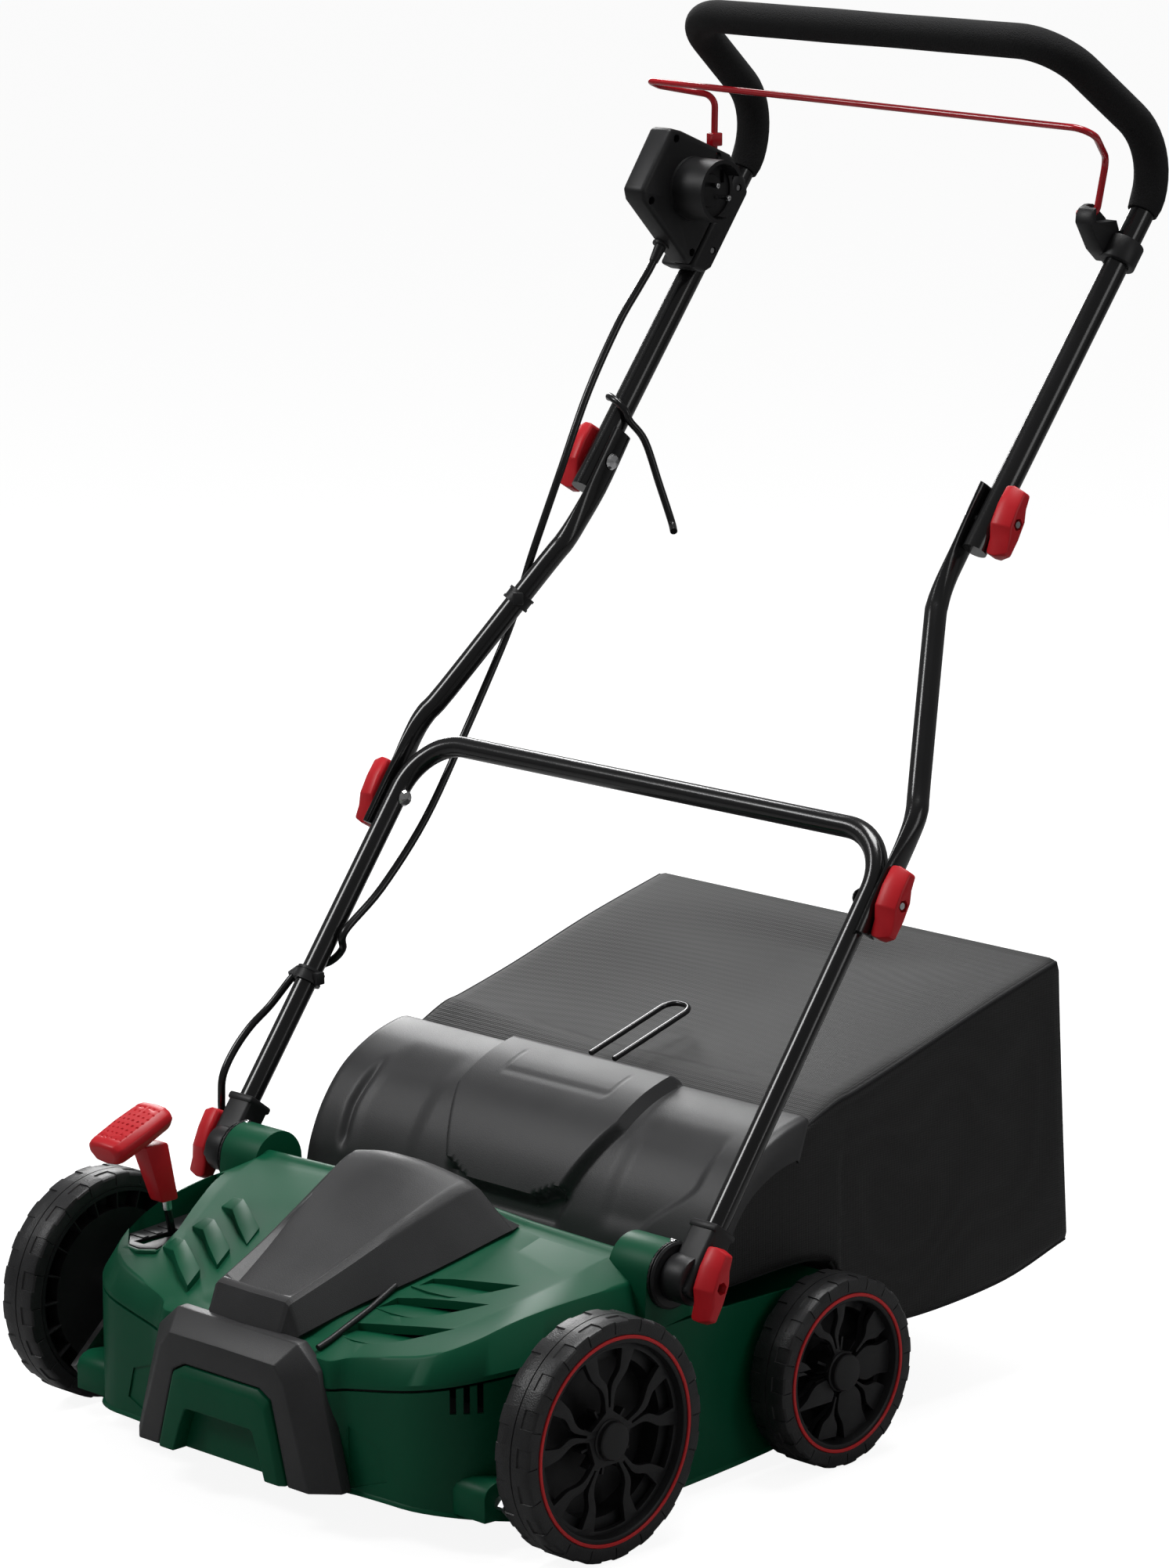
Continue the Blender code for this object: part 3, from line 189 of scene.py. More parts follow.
def pale_floor():
    """A floor that the camera sees as bright as the backdrop, and that throws little light up."""
    made, tree, shader = new_material("floor")
    feed(tree, shader, {"Base Color": (0.30, 0.30, 0.30, 1.0), "Roughness": 0.95,
                        "Specular IOR Level": 0.1, "Emission Color": WHITE,
                        "Emission Strength": brightness(tree, 0.0, FLOOR_GLOW)})
    return made


def surface(name, colour, rough, metal=0.0, grain=0.05, grain_size=0.0006, vary=0.10, patch=0.05,
            coat=0.0, stretch=(1, 1, 1), specular=0.35):
    """A moulded, painted or metal surface: slow colour and gloss changes and a fine grain."""
    made, tree, shader = new_material(name)
    where = node(tree, "Mapping", "Vector",
                 {"Vector": node(tree, "TexCoord", "Object", {}), "Scale": stretch})
    slow = node(tree, "TexNoise", "Fac", {"Vector": where, "Scale": 1 / patch, "Detail": 4})
    fine = node(tree, "TexNoise", "Fac", {"Vector": where, "Scale": 1 / grain_size, "Detail": 2})
    dull, bright = [c * (1 - vary) for c in colour], [min(1, c * (1 + vary)) for c in colour]
    feed(tree, shader, {
        "Metallic": metal, "Specular IOR Level": specular, "Coat Weight": coat, "Coat Roughness": 0.12,
        "Base Color": two_colours(tree, slow, (0.3, dull), (0.7, bright)),
        "Roughness": node(tree, "MapRange", "Result", {
            "Value": slow, "To Min": max(0.02, rough - 0.06), "To Max": min(1.0, rough + 0.06)}),
        "Normal": node(tree, "Bump", "Normal", {"Height": fine, "Strength": grain, "Distance": grain_size})})
    return made


def woven(name, dark, light, pitch):
    """A woven mesh: rounded threads that cross, from sines of the place along all three axes."""
    made, tree, shader = new_material(name)
    where = node(tree, "TexCoord", "Object", {})
    wobble = node(tree, "TexNoise", "Color", {"Vector": where, "Scale": 25})
    steps = node(tree, "VectorMath", "Vector", {0: where, "Scale": math.tau / pitch}, "SCALE")
    phase = node(tree, "VectorMath", "Vector", {0: wobble, 1: (0.7, 0.7, 0.7), 2: steps}, "MULTIPLY_ADD")
    waves = node(tree, "VectorMath", "Vector", {0: phase}, "SINE")
    threads = node(tree, "VectorMath", "Value", {0: waves, 1: (0.5, 0.5, 0.5)}, "DOT_PRODUCT")
    feed(tree, shader, {
        "Sheen Weight": 0.06, "Sheen Roughness": 0.4, "Roughness": 0.62,
        "Base Color": two_colours(tree, threads, (0.25, dark), (0.95, light)),
        "Normal": node(tree, "Bump", "Normal", {
            "Height": threads, "Strength": 0.30, "Distance": pitch * 0.25})})
    return made


camera()
LOOKS = {
    "green": surface("green_plastic", (0.0004, 0.082, 0.036), 0.44, grain=0.08, vary=0.05, specular=0.20),
    "dark": surface("dark_plastic", (0.033, 0.033, 0.0345), 0.42, grain=0.20, grain_size=0.0007,
                    specular=0.42),
    "black": surface("black_plastic", (0.014, 0.014, 0.015), 0.42, grain=0.18),
    "red": surface("red_plastic", (0.600, 0.012, 0.020), 0.38, grain=0.08, vary=0.05),
    "red_wire": surface("red_wire", (0.480, 0.008, 0.016), 0.18, grain=0.04, vary=0.06, coat=0.6),
    "red_ring": surface("red_ring", (0.640, 0.020, 0.024), 0.35, grain=0.05),
    "tyre": surface("tyre_rubber", (0.022, 0.022, 0.023), 0.36, grain=0.25, grain_size=0.0012,
                    patch=0.03, vary=0.25),
    "foam": surface("foam", (0.0085, 0.0085, 0.0090), 0.92, grain=0.9, grain_size=0.0011, vary=0.15),
    "paint": surface("tube_paint", (0.0060, 0.0060, 0.0065), 0.21, grain=0.05, grain_size=0.0014,
                     coat=0.5),
    "steel": surface("zinc_steel", (0.56, 0.56, 0.57), 0.30, metal=1.0, grain=0.12,
                     grain_size=0.0010, stretch=(1, 1, 6)),
    "bright": surface("bright_steel", (0.74, 0.74, 0.75), 0.20, metal=1.0, grain=0.05),
    "lead": surface("lead_sheath", (0.0080, 0.0080, 0.0085), 0.24, grain=0.06, coat=0.3),
    "belt": surface("belt_rubber", (0.012, 0.012, 0.012), 0.70, grain=0.3),
    "mesh": woven("bag_mesh", (0.0014, 0.0014, 0.0015), (0.0100, 0.0100, 0.0104), 0.0021),
    "piping": surface("piping", (0.010, 0.010, 0.011), 0.7, grain=0.6, grain_size=0.0010),
}


# ---- tools ----
def mesh_object(bm, name="piece"):
    """Closes a bmesh into an object."""
    data = bpy.data.meshes.new(name)
    bm.to_mesh(data)
    bm.free()
    return linked(name, data)


def bake(obj):
    """Replaces an object's curve or modifiers with the plain mesh that they make."""
    bpy.context.view_layer.update()
    graph = bpy.context.evaluated_depsgraph_get()
    data = bpy.data.meshes.new_from_object(obj.evaluated_get(graph))
    bm = bmesh.new()
    bm.from_mesh(data)
    bmesh.ops.remove_doubles(bm, verts=bm.verts, dist=1e-6)
    bm.to_mesh(data)
    bm.free()
    made = linked(obj.name, data)
    made.matrix_world = obj.matrix_world.copy()
    bpy.data.objects.remove(obj, do_unlink=True)
    return made


def place(obj, name, body, look, *nodes, sharp=32):
    """Puts a piece drawn in machine coordinates on its body, with its look.

    The nodes are the CAD's own ones that it is shown in place of.
    """
    obj.name = obj.data.name = name
    obj.data.transform(Matrix.Translation(SHIFT) @ obj.matrix_world)
    obj.matrix_world = Matrix.Identity(4)
    obj.data.materials.clear()
    obj.data.materials.append(LOOKS[look])
    obj.data.shade_smooth()
    obj.data.set_sharp_from_angle(angle=math.radians(sharp))
    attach(obj, body)
    if nodes:
        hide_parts(*nodes)
    return obj


def at(point, x=0.0):
    """A point in space from a (y, z) pair."""
    return (x, point[0], point[1])


def block(low, high):
    """A box between two opposite corners."""
    bm = bmesh.new()
    bmesh.ops.create_cube(bm, size=1.0)
    low, high = Vector(low), Vector(high)
    size = Matrix.Diagonal((*(high - low), 1.0))
    bmesh.ops.transform(bm, matrix=Matrix.Translation((low + high) / 2) @ size, verts=bm.verts)
    return mesh_object(bm)


def rod(start, end, radius, sides=32, tip=None):
    """A cylinder between two points, or a cone when the tip has a radius of its own."""
    start, end = Vector(start), Vector(end)
    axis = end - start
    bm = bmesh.new()
    bmesh.ops.create_cone(bm, cap_ends=True, segments=sides, radius1=radius,
                          radius2=radius if tip is None else tip, depth=axis.length)
    turn = axis.to_track_quat("Z", "Y").to_matrix().to_4x4()
    bmesh.ops.transform(bm, matrix=Matrix.Translation((start + end) / 2) @ turn, verts=bm.verts)
    return mesh_object(bm)


def cross_rod(point, start, end, radius, sides=32, tip=None):
    """A rod along X through a (y, z) point, from one x to another."""
    return rod(at(point, start), at(point, end), radius, sides, tip)


def bevel(obj, width, segments=2, angle=32):
    """Rounds the edges that are sharper than the angle, in degrees."""
    modifier = obj.modifiers.new("edge", "BEVEL")
    modifier.width = width
    modifier.segments = segments
    modifier.limit_method = "ANGLE"
    modifier.angle_limit = math.radians(angle)
    return bake(obj)


def combine(obj, other, operation):
    """A boolean of two closed pieces; the second one is used up."""
    modifier = obj.modifiers.new(operation.lower(), "BOOLEAN")
    modifier.operation = operation
    modifier.solver = "EXACT"
    modifier.object = other
    made = bake(obj)
    bpy.data.objects.remove(other, do_unlink=True)
    return made


def cut(obj, *cutters):
    """The piece less each of the cutters."""
    for cutter in cutters:
        obj = combine(obj, cutter, "DIFFERENCE")
    return obj


def fuse(obj, *others):
    """One closed mesh from pieces that overlap."""
    for other in others:
        obj = combine(obj, other, "UNION")
    return obj


def joined(*objs):
    """One object that holds several closed meshes."""
    bm = bmesh.new()
    for obj in objs:
        obj.data.transform(obj.matrix_world)
        bm.from_mesh(obj.data)
    for obj in objs:
        bpy.data.objects.remove(obj, do_unlink=True)
    return mesh_object(bm)


def turned(profile, steps, side, centre, closed=True):
    """Turns a (radius, along) profile about the X axis; "along" points away from the middle."""
    bm = bmesh.new()
    verts = [bm.verts.new((radius, 0, along)) for radius, along in profile]
    pairs = list(zip(verts, verts[1:]))
    if closed:
        pairs.append((verts[-1], verts[0]))
    for first, second in pairs:
        bm.edges.new((first, second))
    obj = mesh_object(bm)
    screw = obj.modifiers.new("turn", "SCREW")
    screw.steps = screw.render_steps = steps
    screw.use_merge_vertices = True
    screw.merge_threshold = 1e-6
    obj = bake(obj)
    turn = Matrix.Rotation(math.radians(90 * side), 4, "Y")
    obj.data.transform(Matrix.Translation(centre) @ turn)
    return outward(obj)


def outward(obj):
    """Turns the faces of every closed mesh in the object outwards."""
    bm = bmesh.new()
    bm.from_mesh(obj.data)
    bmesh.ops.recalc_face_normals(bm, faces=bm.faces)
    bm.to_mesh(obj.data)
    bm.free()
    return obj


def fillet(points, radius, steps=8):
    """The points with each inner corner made an arc; radius is one value or one per corner."""
    points = [Vector(p) for p in points]
    path = [points[0]]
    radii = radius if isinstance(radius, tuple) else (radius,) * len(points)
    for before, corner, after, radius in zip(points, points[1:], points[2:], radii):
        inward = (before - corner).normalized()
        away = (after - corner).normalized()
        half = inward.angle(away) / 2
        reach = radius / math.tan(half)
        middle = corner + (inward + away).normalized() * (radius / math.sin(half))
        first = corner + inward * reach - middle
        last = corner + away * reach - middle
        turn = first.angle(last)
        for step in range(steps + 1):
            share = step / steps
            weight = math.sin((1 - share) * turn) * first + math.sin(share * turn) * last
            path.append(middle + weight / math.sin(turn))
    path.append(points[-1])
    return path


def smooth_path(points, per_span=4):
    """A Catmull-Rom curve through the points."""
    points = [Vector(p) for p in points]
    padded = [2 * points[0] - points[1]] + points + [2 * points[-1] - points[-2]]
    path = []
    for a, b, c, d in zip(padded, padded[1:], padded[2:], padded[3:]):
        for step in range(per_span):
            t = step / per_span
            path.append(0.5 * (2 * b + (c - a) * t + (2 * a - 5 * b + 4 * c - d) * t * t
                               + (3 * b - a - 3 * c + d) * t ** 3))
    path.append(points[-1])
    return path


def wire(path, radius, resolution=6, capped=True):
    """A round bar along a path."""
    curve = bpy.data.curves.new("wire", "CURVE")
    curve.dimensions = "3D"
    curve.bevel_depth = radius
    curve.bevel_resolution = resolution
    curve.use_fill_caps = capped
    spline = curve.splines.new("POLY")
    spline.points.add(len(path) - 1)
    for point, where in zip(spline.points, path):
        point.co = (*where, 1.0)
    return outward(bake(linked("wire", curve)))


def closed_rings(rings, ends=True):
    """A skin over rings of points; each ring is closed, and the ends are filled."""
    bm = bmesh.new()
    made = [[bm.verts.new(p) for p in ring] for ring in rings]
    for first, second in zip(made, made[1:]):
        for k in range(len(first)):
            n = (k + 1) % len(first)
            bm.faces.new((first[k], first[n], second[n], second[k]))
    if ends:
        bm.faces.new(made[0])
        bm.faces.new(made[-1])
    bmesh.ops.recalc_face_normals(bm, faces=bm.faces)
    return mesh_object(bm)


def oval_bar(stations, sides=28):
    """A loft through ovals: each station is (centre, half width across, half thickness in x)."""
    centres = [Vector(station[0]) for station in stations]
    rings = []
    for index, centre in enumerate(centres):
        across, thick = stations[index][1:]
        before = centres[max(index - 1, 0)]
        after = centres[min(index + 1, len(centres) - 1)]
        along = (after - before).normalized()
        side = (Vector((1, 0, 0)) - along * along.x).normalized()
        normal = along.cross(side)
        rings.append([centre + side * u * thick + normal * v * across
                      for u, v in circle(1.0, sides)])
    return closed_rings(rings)


def flat(outlines, thickness, turn, centre):
    """A flat outline with holes, of the given thickness; turn takes its plane into place."""
    curve = bpy.data.curves.new("flat", "CURVE")
    curve.dimensions = "2D"
    curve.fill_mode = "BOTH"
    curve.extrude = thickness / 2
    for outline in outlines:
        spline = curve.splines.new("POLY")
        spline.points.add(len(outline) - 1)
        spline.use_cyclic_u = True
        for point, (u, v) in zip(spline.points, outline):
            point.co = (u, v, 0.0, 1.0)
    obj = bake(linked("flat", curve))
    obj.data.transform(Matrix.Translation(centre) @ turn)
    return outward(obj)


def hull(points):
    """The convex solid round some points."""
    bm = bmesh.new()
    for point in points:
        bm.verts.new(point)
    made = bmesh.ops.convex_hull(bm, input=bm.verts)
    bmesh.ops.delete(bm, geom=made["geom_interior"], context="VERTS")
    bmesh.ops.recalc_face_normals(bm, faces=bm.faces)
    return mesh_object(bm)


# Matrices that take an outline's plane into place: seen from the side as (y, z), or the front as (x, z).
SIDE = Matrix(((0, 0, 1, 0), (1, 0, 0, 0), (0, 1, 0, 0), (0, 0, 0, 1)))
FRONT = Matrix(((1, 0, 0, 0), (0, 0, -1, 0), (0, 1, 0, 0), (0, 0, 0, 1)))


def polar(radius, turn):
    """A point of an outline, from its radius and its angle."""
    return (radius * math.cos(turn), radius * math.sin(turn))


def circle(radius, sides, start=0.0):
    """An outline round the origin."""
    return [polar(radius, start + math.tau * k / sides) for k in range(sides)]


def mirrored(obj):
    """The same piece on the other side of x = 0."""
    obj.data.transform(Matrix.Diagonal((-1, 1, 1, 1)))
    return outward(obj)


def skin(rows):
    """An open surface over rows of points, with as many points in each."""
    bm = bmesh.new()
    grid = [[bm.verts.new(point) for point in row] for row in rows]
    for first, second in zip(grid, grid[1:]):
        for k in range(len(first) - 1):
            bm.faces.new((first[k], first[k + 1], second[k + 1], second[k]))
    return bm


def sheet(rows, thickness, mirror=True):
    """A shell of one thickness from rows of points, mirrored about x = 0 if asked."""
    bm = skin(rows)
    bmesh.ops.remove_doubles(bm, verts=bm.verts, dist=1e-6)
    bmesh.ops.recalc_face_normals(bm, faces=bm.faces)
    obj = mesh_object(bm)
    if mirror:
        half = obj.modifiers.new("mirror", "MIRROR")
        half.merge_threshold = 1e-5
    solid = obj.modifiers.new("wall", "SOLIDIFY")
    solid.thickness = thickness
    solid.offset = -1.0
    solid.use_even_offset = True
    return bake(obj)


def thick(rows, centre, share):
    """A closed shell of both halves whose inner skin is its outer one shrunk towards a point."""
    bm = skin(rows)
    whole = bm.verts[:] + bm.edges[:] + bm.faces[:]
    for part in bmesh.ops.duplicate(bm, geom=whole)["geom"]:
        if isinstance(part, bmesh.types.BMVert):
            part.co.x = -part.co.x
    bmesh.ops.remove_doubles(bm, verts=bm.verts, dist=1e-5)
    bmesh.ops.recalc_face_normals(bm, faces=bm.faces)
    centre = Vector(centre)
    for part in bmesh.ops.extrude_face_region(bm, geom=bm.faces[:])["geom"]:
        if isinstance(part, bmesh.types.BMVert):
            part.co = centre + (part.co - centre) * share
    bmesh.ops.recalc_face_normals(bm, faces=bm.faces)
    return mesh_object(bm)


def along_tube(start, other, distance, x):
    """The point at a distance from one pivot towards another, at the given x."""
    first, second = Vector(at(start)), Vector(at(other))
    point = first + (second - first).normalized() * distance
    return Vector((x, point.y, point.z))


def ramp(value, low, high):
    """0 below low, 1 above high, and a smooth step between them."""
    t = min(1.0, max(0.0, (value - low) / (high - low)))
    return t * t * (3 - 2 * t)


# ---- wheels ----
TREAD_BLOCKS, SPOKES, DRUM_RIBS, HUB_RIBS = 20, 5, 20, 10
RIM_INSET = 0.0134       # from the tread to the rim


def tread_depth(fraction, along, half):
    """How far the tread lies under its crown: staggered shoulder pads and a middle groove."""
    if abs(along) < 0.0005:
        return 0.0009
    low_pad = fraction > 0.5 if along > 0 else fraction < 0.5
    return 0.0011 if low_pad and abs(along) > 0.0065 else 0.0


def tyre(radius, side, centre):
    """A tyre from its section, turned in steps that give each tread block its edges.

    Each point of the section is (radius, place along the axle, kind): 2 is tread, 1 is side wall.
    """
    h, inner = WHEEL_HALF, radius - 0.0131
    profile = [(inner, h - 0.0004, 0), (radius - 0.0112, h, 0), (radius - 0.0108, h, 1),
               (radius - 0.0036, h, 1), (radius - 0.0010, h - 0.0010, 2), (radius, h - 0.0030, 2),
               (radius, 0.0070, 2), (radius, 0.0064, 0), (radius, 0.0006, 0), (radius, 0.0003, 2),
               (radius, -0.0003, 2), (radius, -0.0006, 0), (radius, -0.0064, 0),
               (radius, -0.0070, 2), (radius, 0.0030 - h, 2), (radius - 0.0010, 0.0010 - h, 2),
               (radius - 0.0036, -h, 1), (radius - 0.0108, -h, 1), (radius - 0.0112, -h, 0),
               (inner, 0.0004 - h, 0)]
    rings = []
    for segment in range(TREAD_BLOCKS):
        for fraction in (0.0, 0.012, 0.034, 0.046, 0.25, 0.494, 0.506, 0.75, 0.988):
            turn = math.tau * (segment + fraction) / TREAD_BLOCKS
            groove = 0.0009 if fraction in (0.012, 0.034) else 0.0
            ring = []
            for r, along, kind in profile:
                if kind == 2:
                    r -= tread_depth(fraction, along, h)
                if kind == 1:
                    along -= math.copysign(groove, along)
                ring.append((along * side, r * math.cos(turn), r * math.sin(turn)))
            rings.append(ring)
    rings.append(rings[0])
    obj = closed_rings(rings, ends=False)
    obj.data.transform(Matrix.Translation(centre))
    return outward(bake(obj))


def spoke_window(middle, edges, share):
    """A window whose half angle is given at each radius, smoothed; share scales its radii."""
    path = smooth_path([(r * share, a, 0) for r, a in edges], 4)
    first = [polar(p.x, middle - math.radians(p.y)) for p in path]
    last = [polar(p.x, middle + math.radians(p.y)) for p in path]
    end = path[-1]
    arc = [polar(end.x, middle + math.radians(end.y) * k / 4) for k in range(-3, 4)]
    return first + arc + list(reversed(last))


# Half widths of the windows as (radius, degrees): inside a forked spoke, and between two spokes.
FORK = [(0.0270, 2.2), (0.0440, 3.2), (0.0560, 11.0), (0.0660, 11.5), (0.0745, 11.0)]
BETWEEN = [(0.0235, 26.0), (0.0350, 27.0), (0.0430, 24.5), (0.0550, 16.5), (0.0660, 14.5),
           (0.0745, 14.0)]


def rim(radius, side, centre, phase):
    """The dish behind, the ribs round its drum, and the plate of forked spokes with its hub."""
    h, outer = WHEEL_HALF, radius - RIM_INSET
    share = radius / FRONT_R
    drum = 0.0685 * share
    cup = turned([(outer - 0.0006, h - 0.0006), (outer, h - 0.0010), (outer, -h), (outer - 0.0034, -h),
                  (outer - 0.0034, h - 0.0175), (drum, h - 0.0175), (drum, 0.0020 - h),
                  (0, 0.0020 - h), (0, 0.0045 - h), (drum - 0.0025, 0.0045 - h),
                  (drum - 0.0025, h - 0.0155), (outer - 0.0090, h - 0.0155),
                  (outer - 0.0085, h - 0.0070), (outer - 0.0068, h - 0.0012),
                  (outer - 0.0056, h - 0.0004)], 96, side, centre)
    windows = []
    for k in range(SPOKES):
        turn = math.radians(phase) + math.tau * k / SPOKES
        windows.append(spoke_window(turn, FORK, share))
        windows.append(spoke_window(turn + math.pi / SPOKES, BETWEEN, share))
    plate_at = (centre[0] + side * (h - 0.0095), centre[1], centre[2])
    plate = flat([circle(outer - 0.0080, 96)] + windows, 0.0050, SIDE, plate_at)
    plate = bevel(plate, 0.0007, 2, 50)
    hub = turned([(0, h + 0.0010), (0.0120, h + 0.0007), (0.0150, h - 0.0001), (0.0158, h - 0.0012),
                  (0.0160, h - 0.0052), (0.0172, h - 0.0062), (0.0176, h - 0.0110),
                  (0.0170, 0.0030 - h), (0, 0.0030 - h)], 64, side, centre, closed=False)
    ribs = []
    for k in range(DRUM_RIBS):
        rib = block((-0.0030, drum + 0.0001, -0.0006), (0.0110, outer - 0.0030, 0.0006))
        rib.data.transform(Matrix.Translation((side * (0.001 - h / 2), 0, 0)))
        ribs.append(spun(rib, math.tau * k / DRUM_RIBS, centre))
    for k in range(HUB_RIBS):
        rib = block((side * (h - 0.0150) - 0.0045, 0.0165, -0.0011),
                    (side * (h - 0.0150) + 0.0045, 0.0290, 0.0011))
        ribs.append(spun(rib, math.tau * (k + 0.25) / HUB_RIBS, centre))
    return joined(cup, plate, hub, *ribs)


def spun(obj, turn, centre):
    """Turns a piece about the X axis and moves it to a centre."""
    obj.data.transform(Matrix.Translation(centre) @ Matrix.Rotation(turn, 4, "X"))
    return obj


def wheel(name, radius, x, axle, side, phase):
    """One wheel: tyre, spoked rim and the red ring round it."""
    centre = at(axle, x * side)
    place(tyre(radius, side, centre), name + "_tyre_tread", name, "tyre", name + "_tyre", sharp=28)
    place(rim(radius, side, centre, phase), name + "_spokes", name, "black", name + "_rim")
    h, outer = WHEEL_HALF, radius - RIM_INSET
    ring = turned([(outer - 0.0030, h - 0.0012), (outer - 0.0030, h + 0.0003), (outer - 0.0024, h + 0.0008),
                   (outer - 0.0006, h + 0.0008), (outer - 0.0001, h + 0.0003),
                   (outer - 0.0001, h - 0.0012)], 96, side, centre)
    place(ring, name + "_red_ring", name, "red_ring")


# ---- deck ----
# Half of the lower deck's rim as (x, y, lowest z, highest z), from the middle of the front to the back.
DECK_EDGE = [
    (0.0, -0.112, 0.034, 0.1205), (0.080, -0.112, 0.034, 0.1205), (0.102, -0.111, 0.034, 0.1205),
    (0.114, -0.102, 0.034, 0.1215), (0.150, -0.0985, 0.034, 0.1275), (0.182, -0.0945, 0.033, 0.1335),
    (0.206, -0.081, 0.031, 0.1380), (0.225, -0.058, 0.027, 0.1425), (0.239, -0.030, 0.022, 0.1465),
    (0.247, 0.008, 0.016, 0.1495), (0.250, 0.060, 0.012, 0.1515), (0.250, 0.115, 0.009, 0.1530),
    (0.250, 0.156, 0.009, 0.1540), (0.250, 0.250, 0.014, 0.1525), (0.250, 0.338, 0.024, 0.1500)]
SEAM_GAP = 0.0022
LUG_SHAPE = [(-0.0770, 0.033), (-0.0770, 0.054), (-0.0750, 0.0590), (-0.0710, 0.0625),
             (-0.0650, 0.0645), (-0.0570, 0.0645), (-0.0490, 0.0635), (-0.0430, 0.0620),
             (-0.0430, 0.031)]


def lower_deck():
    """The skirt's wall with its rolled lower lip, and the lugs and bosses of the axles.

    The first three rows are heights above the lower edge, the others shares of the wall's height.
    """
    rows = []
    for share, lip in ((0.0, 0.0018), (0.0015, 0.0016), (0.0035, 0.0), (0.35, 0.0), (0.70, 0.0), (1.0, 0.0)):
        row = []
        for x, y, low, high in DECK_EDGE:
            z = low + share if share < 0.01 else low + (high - SEAM_GAP - low) * share
            front = -lip if y < -0.05 else 0.0
            row.append((x + (lip if x > 0.2 else 0.0) * 0.8, y + front, z))
        rows.append(smooth_path(row, 3))
    wall = sheet(rows, DECK_WALL)
    for side in (-1, 1):
        lug = bevel(flat([LUG_SHAPE], 0.044, SIDE, (0.2240 * side, 0, 0)), 0.0012, 2)
        boss = cross_rod(REAR_AXLE, 0.238 * side, 0.2535 * side, 0.014)
        wall = joined(wall, lug, boss)
    return wall


def wall_cutter(outline, start, end, depth):
    """A prism sunk into the skirt between two of its plan points; outline is (along, z)."""
    first, last = Vector((*start, 0)), Vector((*end, 0))
    along = (last - first).normalized()
    outwards = Vector((along.y, -along.x, 0))
    near = [first + along * u + outwards * 0.010 + Vector((0, 0, v)) for u, v in outline]
    far = [first + along * u - outwards * depth + Vector((0, 0, v)) for u, v in outline]
    return closed_rings([near, far])


def skirt():
    """The lower deck with its sunk panels, its vents and the chute's floor."""
    wall = lower_deck()
    for side in (1, -1):
        panel = wall_cutter([(0.0090, 0.0900), (0.042, 0.0785), (0.0500, 0.0515), (0.0100, 0.0380)],
                            (0.1065, -0.1030), (0.1575, -0.0978), 0.0014)
        wall = cut(wall, panel if side > 0 else mirrored(panel))
        for step in range(3):
            u = 0.0035 + 0.0110 * step
            slot = wall_cutter([(u, 0.1160), (u + 0.0052, 0.1160), (u + 0.0052, 0.1385 + 0.0012 * step),
                                (u, 0.1375 + 0.0012 * step)], (0.206, -0.081), (0.2310, -0.0485), 0.012)
            wall = cut(wall, slot if side > 0 else mirrored(slot))
    floor = [(0.160, 0.022), (0.200, 0.040), (0.250, 0.080), (0.300, 0.122), (0.335, 0.148)]
    chute = sheet([smooth_path([(x, y, z) for y, z in floor], 4) for x in (-0.2485, 0.2485)],
                  DECK_WALL, mirror=False)
    place(joined(wall, chute), "deck_skirt", "deck", "green", "lower_deck")


# The upper deck's rails, each from the middle outwards and back: seam, rolled edge, shoulder, ridges, middle.
SEAM = [(x, y, high + 0.0002) for x, y, low, high in DECK_EDGE[:13]] + [(0.250, 0.165, 0.1545)]
COVER_RAILS = [
    SEAM, [(x, y, z + 0.004) for x, y, z in SEAM],
    [(0.0, -0.108, 0.1430), (0.080, -0.108, 0.1430), (0.100, -0.107, 0.1430), (0.114, -0.096, 0.1465),
     (0.150, -0.088, 0.1530), (0.180, -0.081, 0.1590), (0.199, -0.070, 0.1655), (0.212, -0.048, 0.1735),
     (0.221, -0.018, 0.1825), (0.229, 0.020, 0.1885), (0.236, 0.065, 0.1920), (0.238, 0.115, 0.1925),
     (0.238, 0.145, 0.1900), (0.238, 0.165, 0.1780)],
    [(0.0, -0.085, 0.1490), (0.062, -0.085, 0.1490), (0.082, -0.080, 0.1510), (0.100, -0.070, 0.1530),
     (0.128, -0.056, 0.1580), (0.150, -0.044, 0.1630), (0.166, -0.030, 0.1680), (0.178, -0.008, 0.1750),
     (0.188, 0.018, 0.1830), (0.198, 0.046, 0.1920), (0.206, 0.076, 0.2010), (0.212, 0.105, 0.2080),
     (0.213, 0.122, 0.2090), (0.213, 0.165, 0.1780)],
    [(0.0, -0.060, 0.1600), (0.040, -0.060, 0.1600), (0.058, -0.055, 0.1610), (0.064, -0.043, 0.1640),
     (0.070, -0.027, 0.1685), (0.076, -0.009, 0.1745), (0.082, 0.010, 0.1810), (0.088, 0.028, 0.1870),
     (0.094, 0.048, 0.1935), (0.099, 0.068, 0.2000), (0.104, 0.088, 0.2060), (0.108, 0.106, 0.2110),
     (0.109, 0.120, 0.2120), (0.109, 0.165, 0.1760)],
    [(0.0, -0.060, 0.1600), (0.0, -0.054, 0.1620), (0.0, -0.047, 0.1650), (0.0, -0.035, 0.1700),
     (0.0, -0.020, 0.1750), (0.0, -0.004, 0.1810), (0.0, 0.014, 0.1880), (0.0, 0.032, 0.1970),
     (0.0, 0.050, 0.2050), (0.0, 0.068, 0.2120), (0.0, 0.085, 0.2160), (0.0, 0.104, 0.2180),
     (0.0, 0.120, 0.2180), (0.0, 0.165, 0.1760)]]
CREASE = 0.0028          # how far a crease's rounding reaches to each side
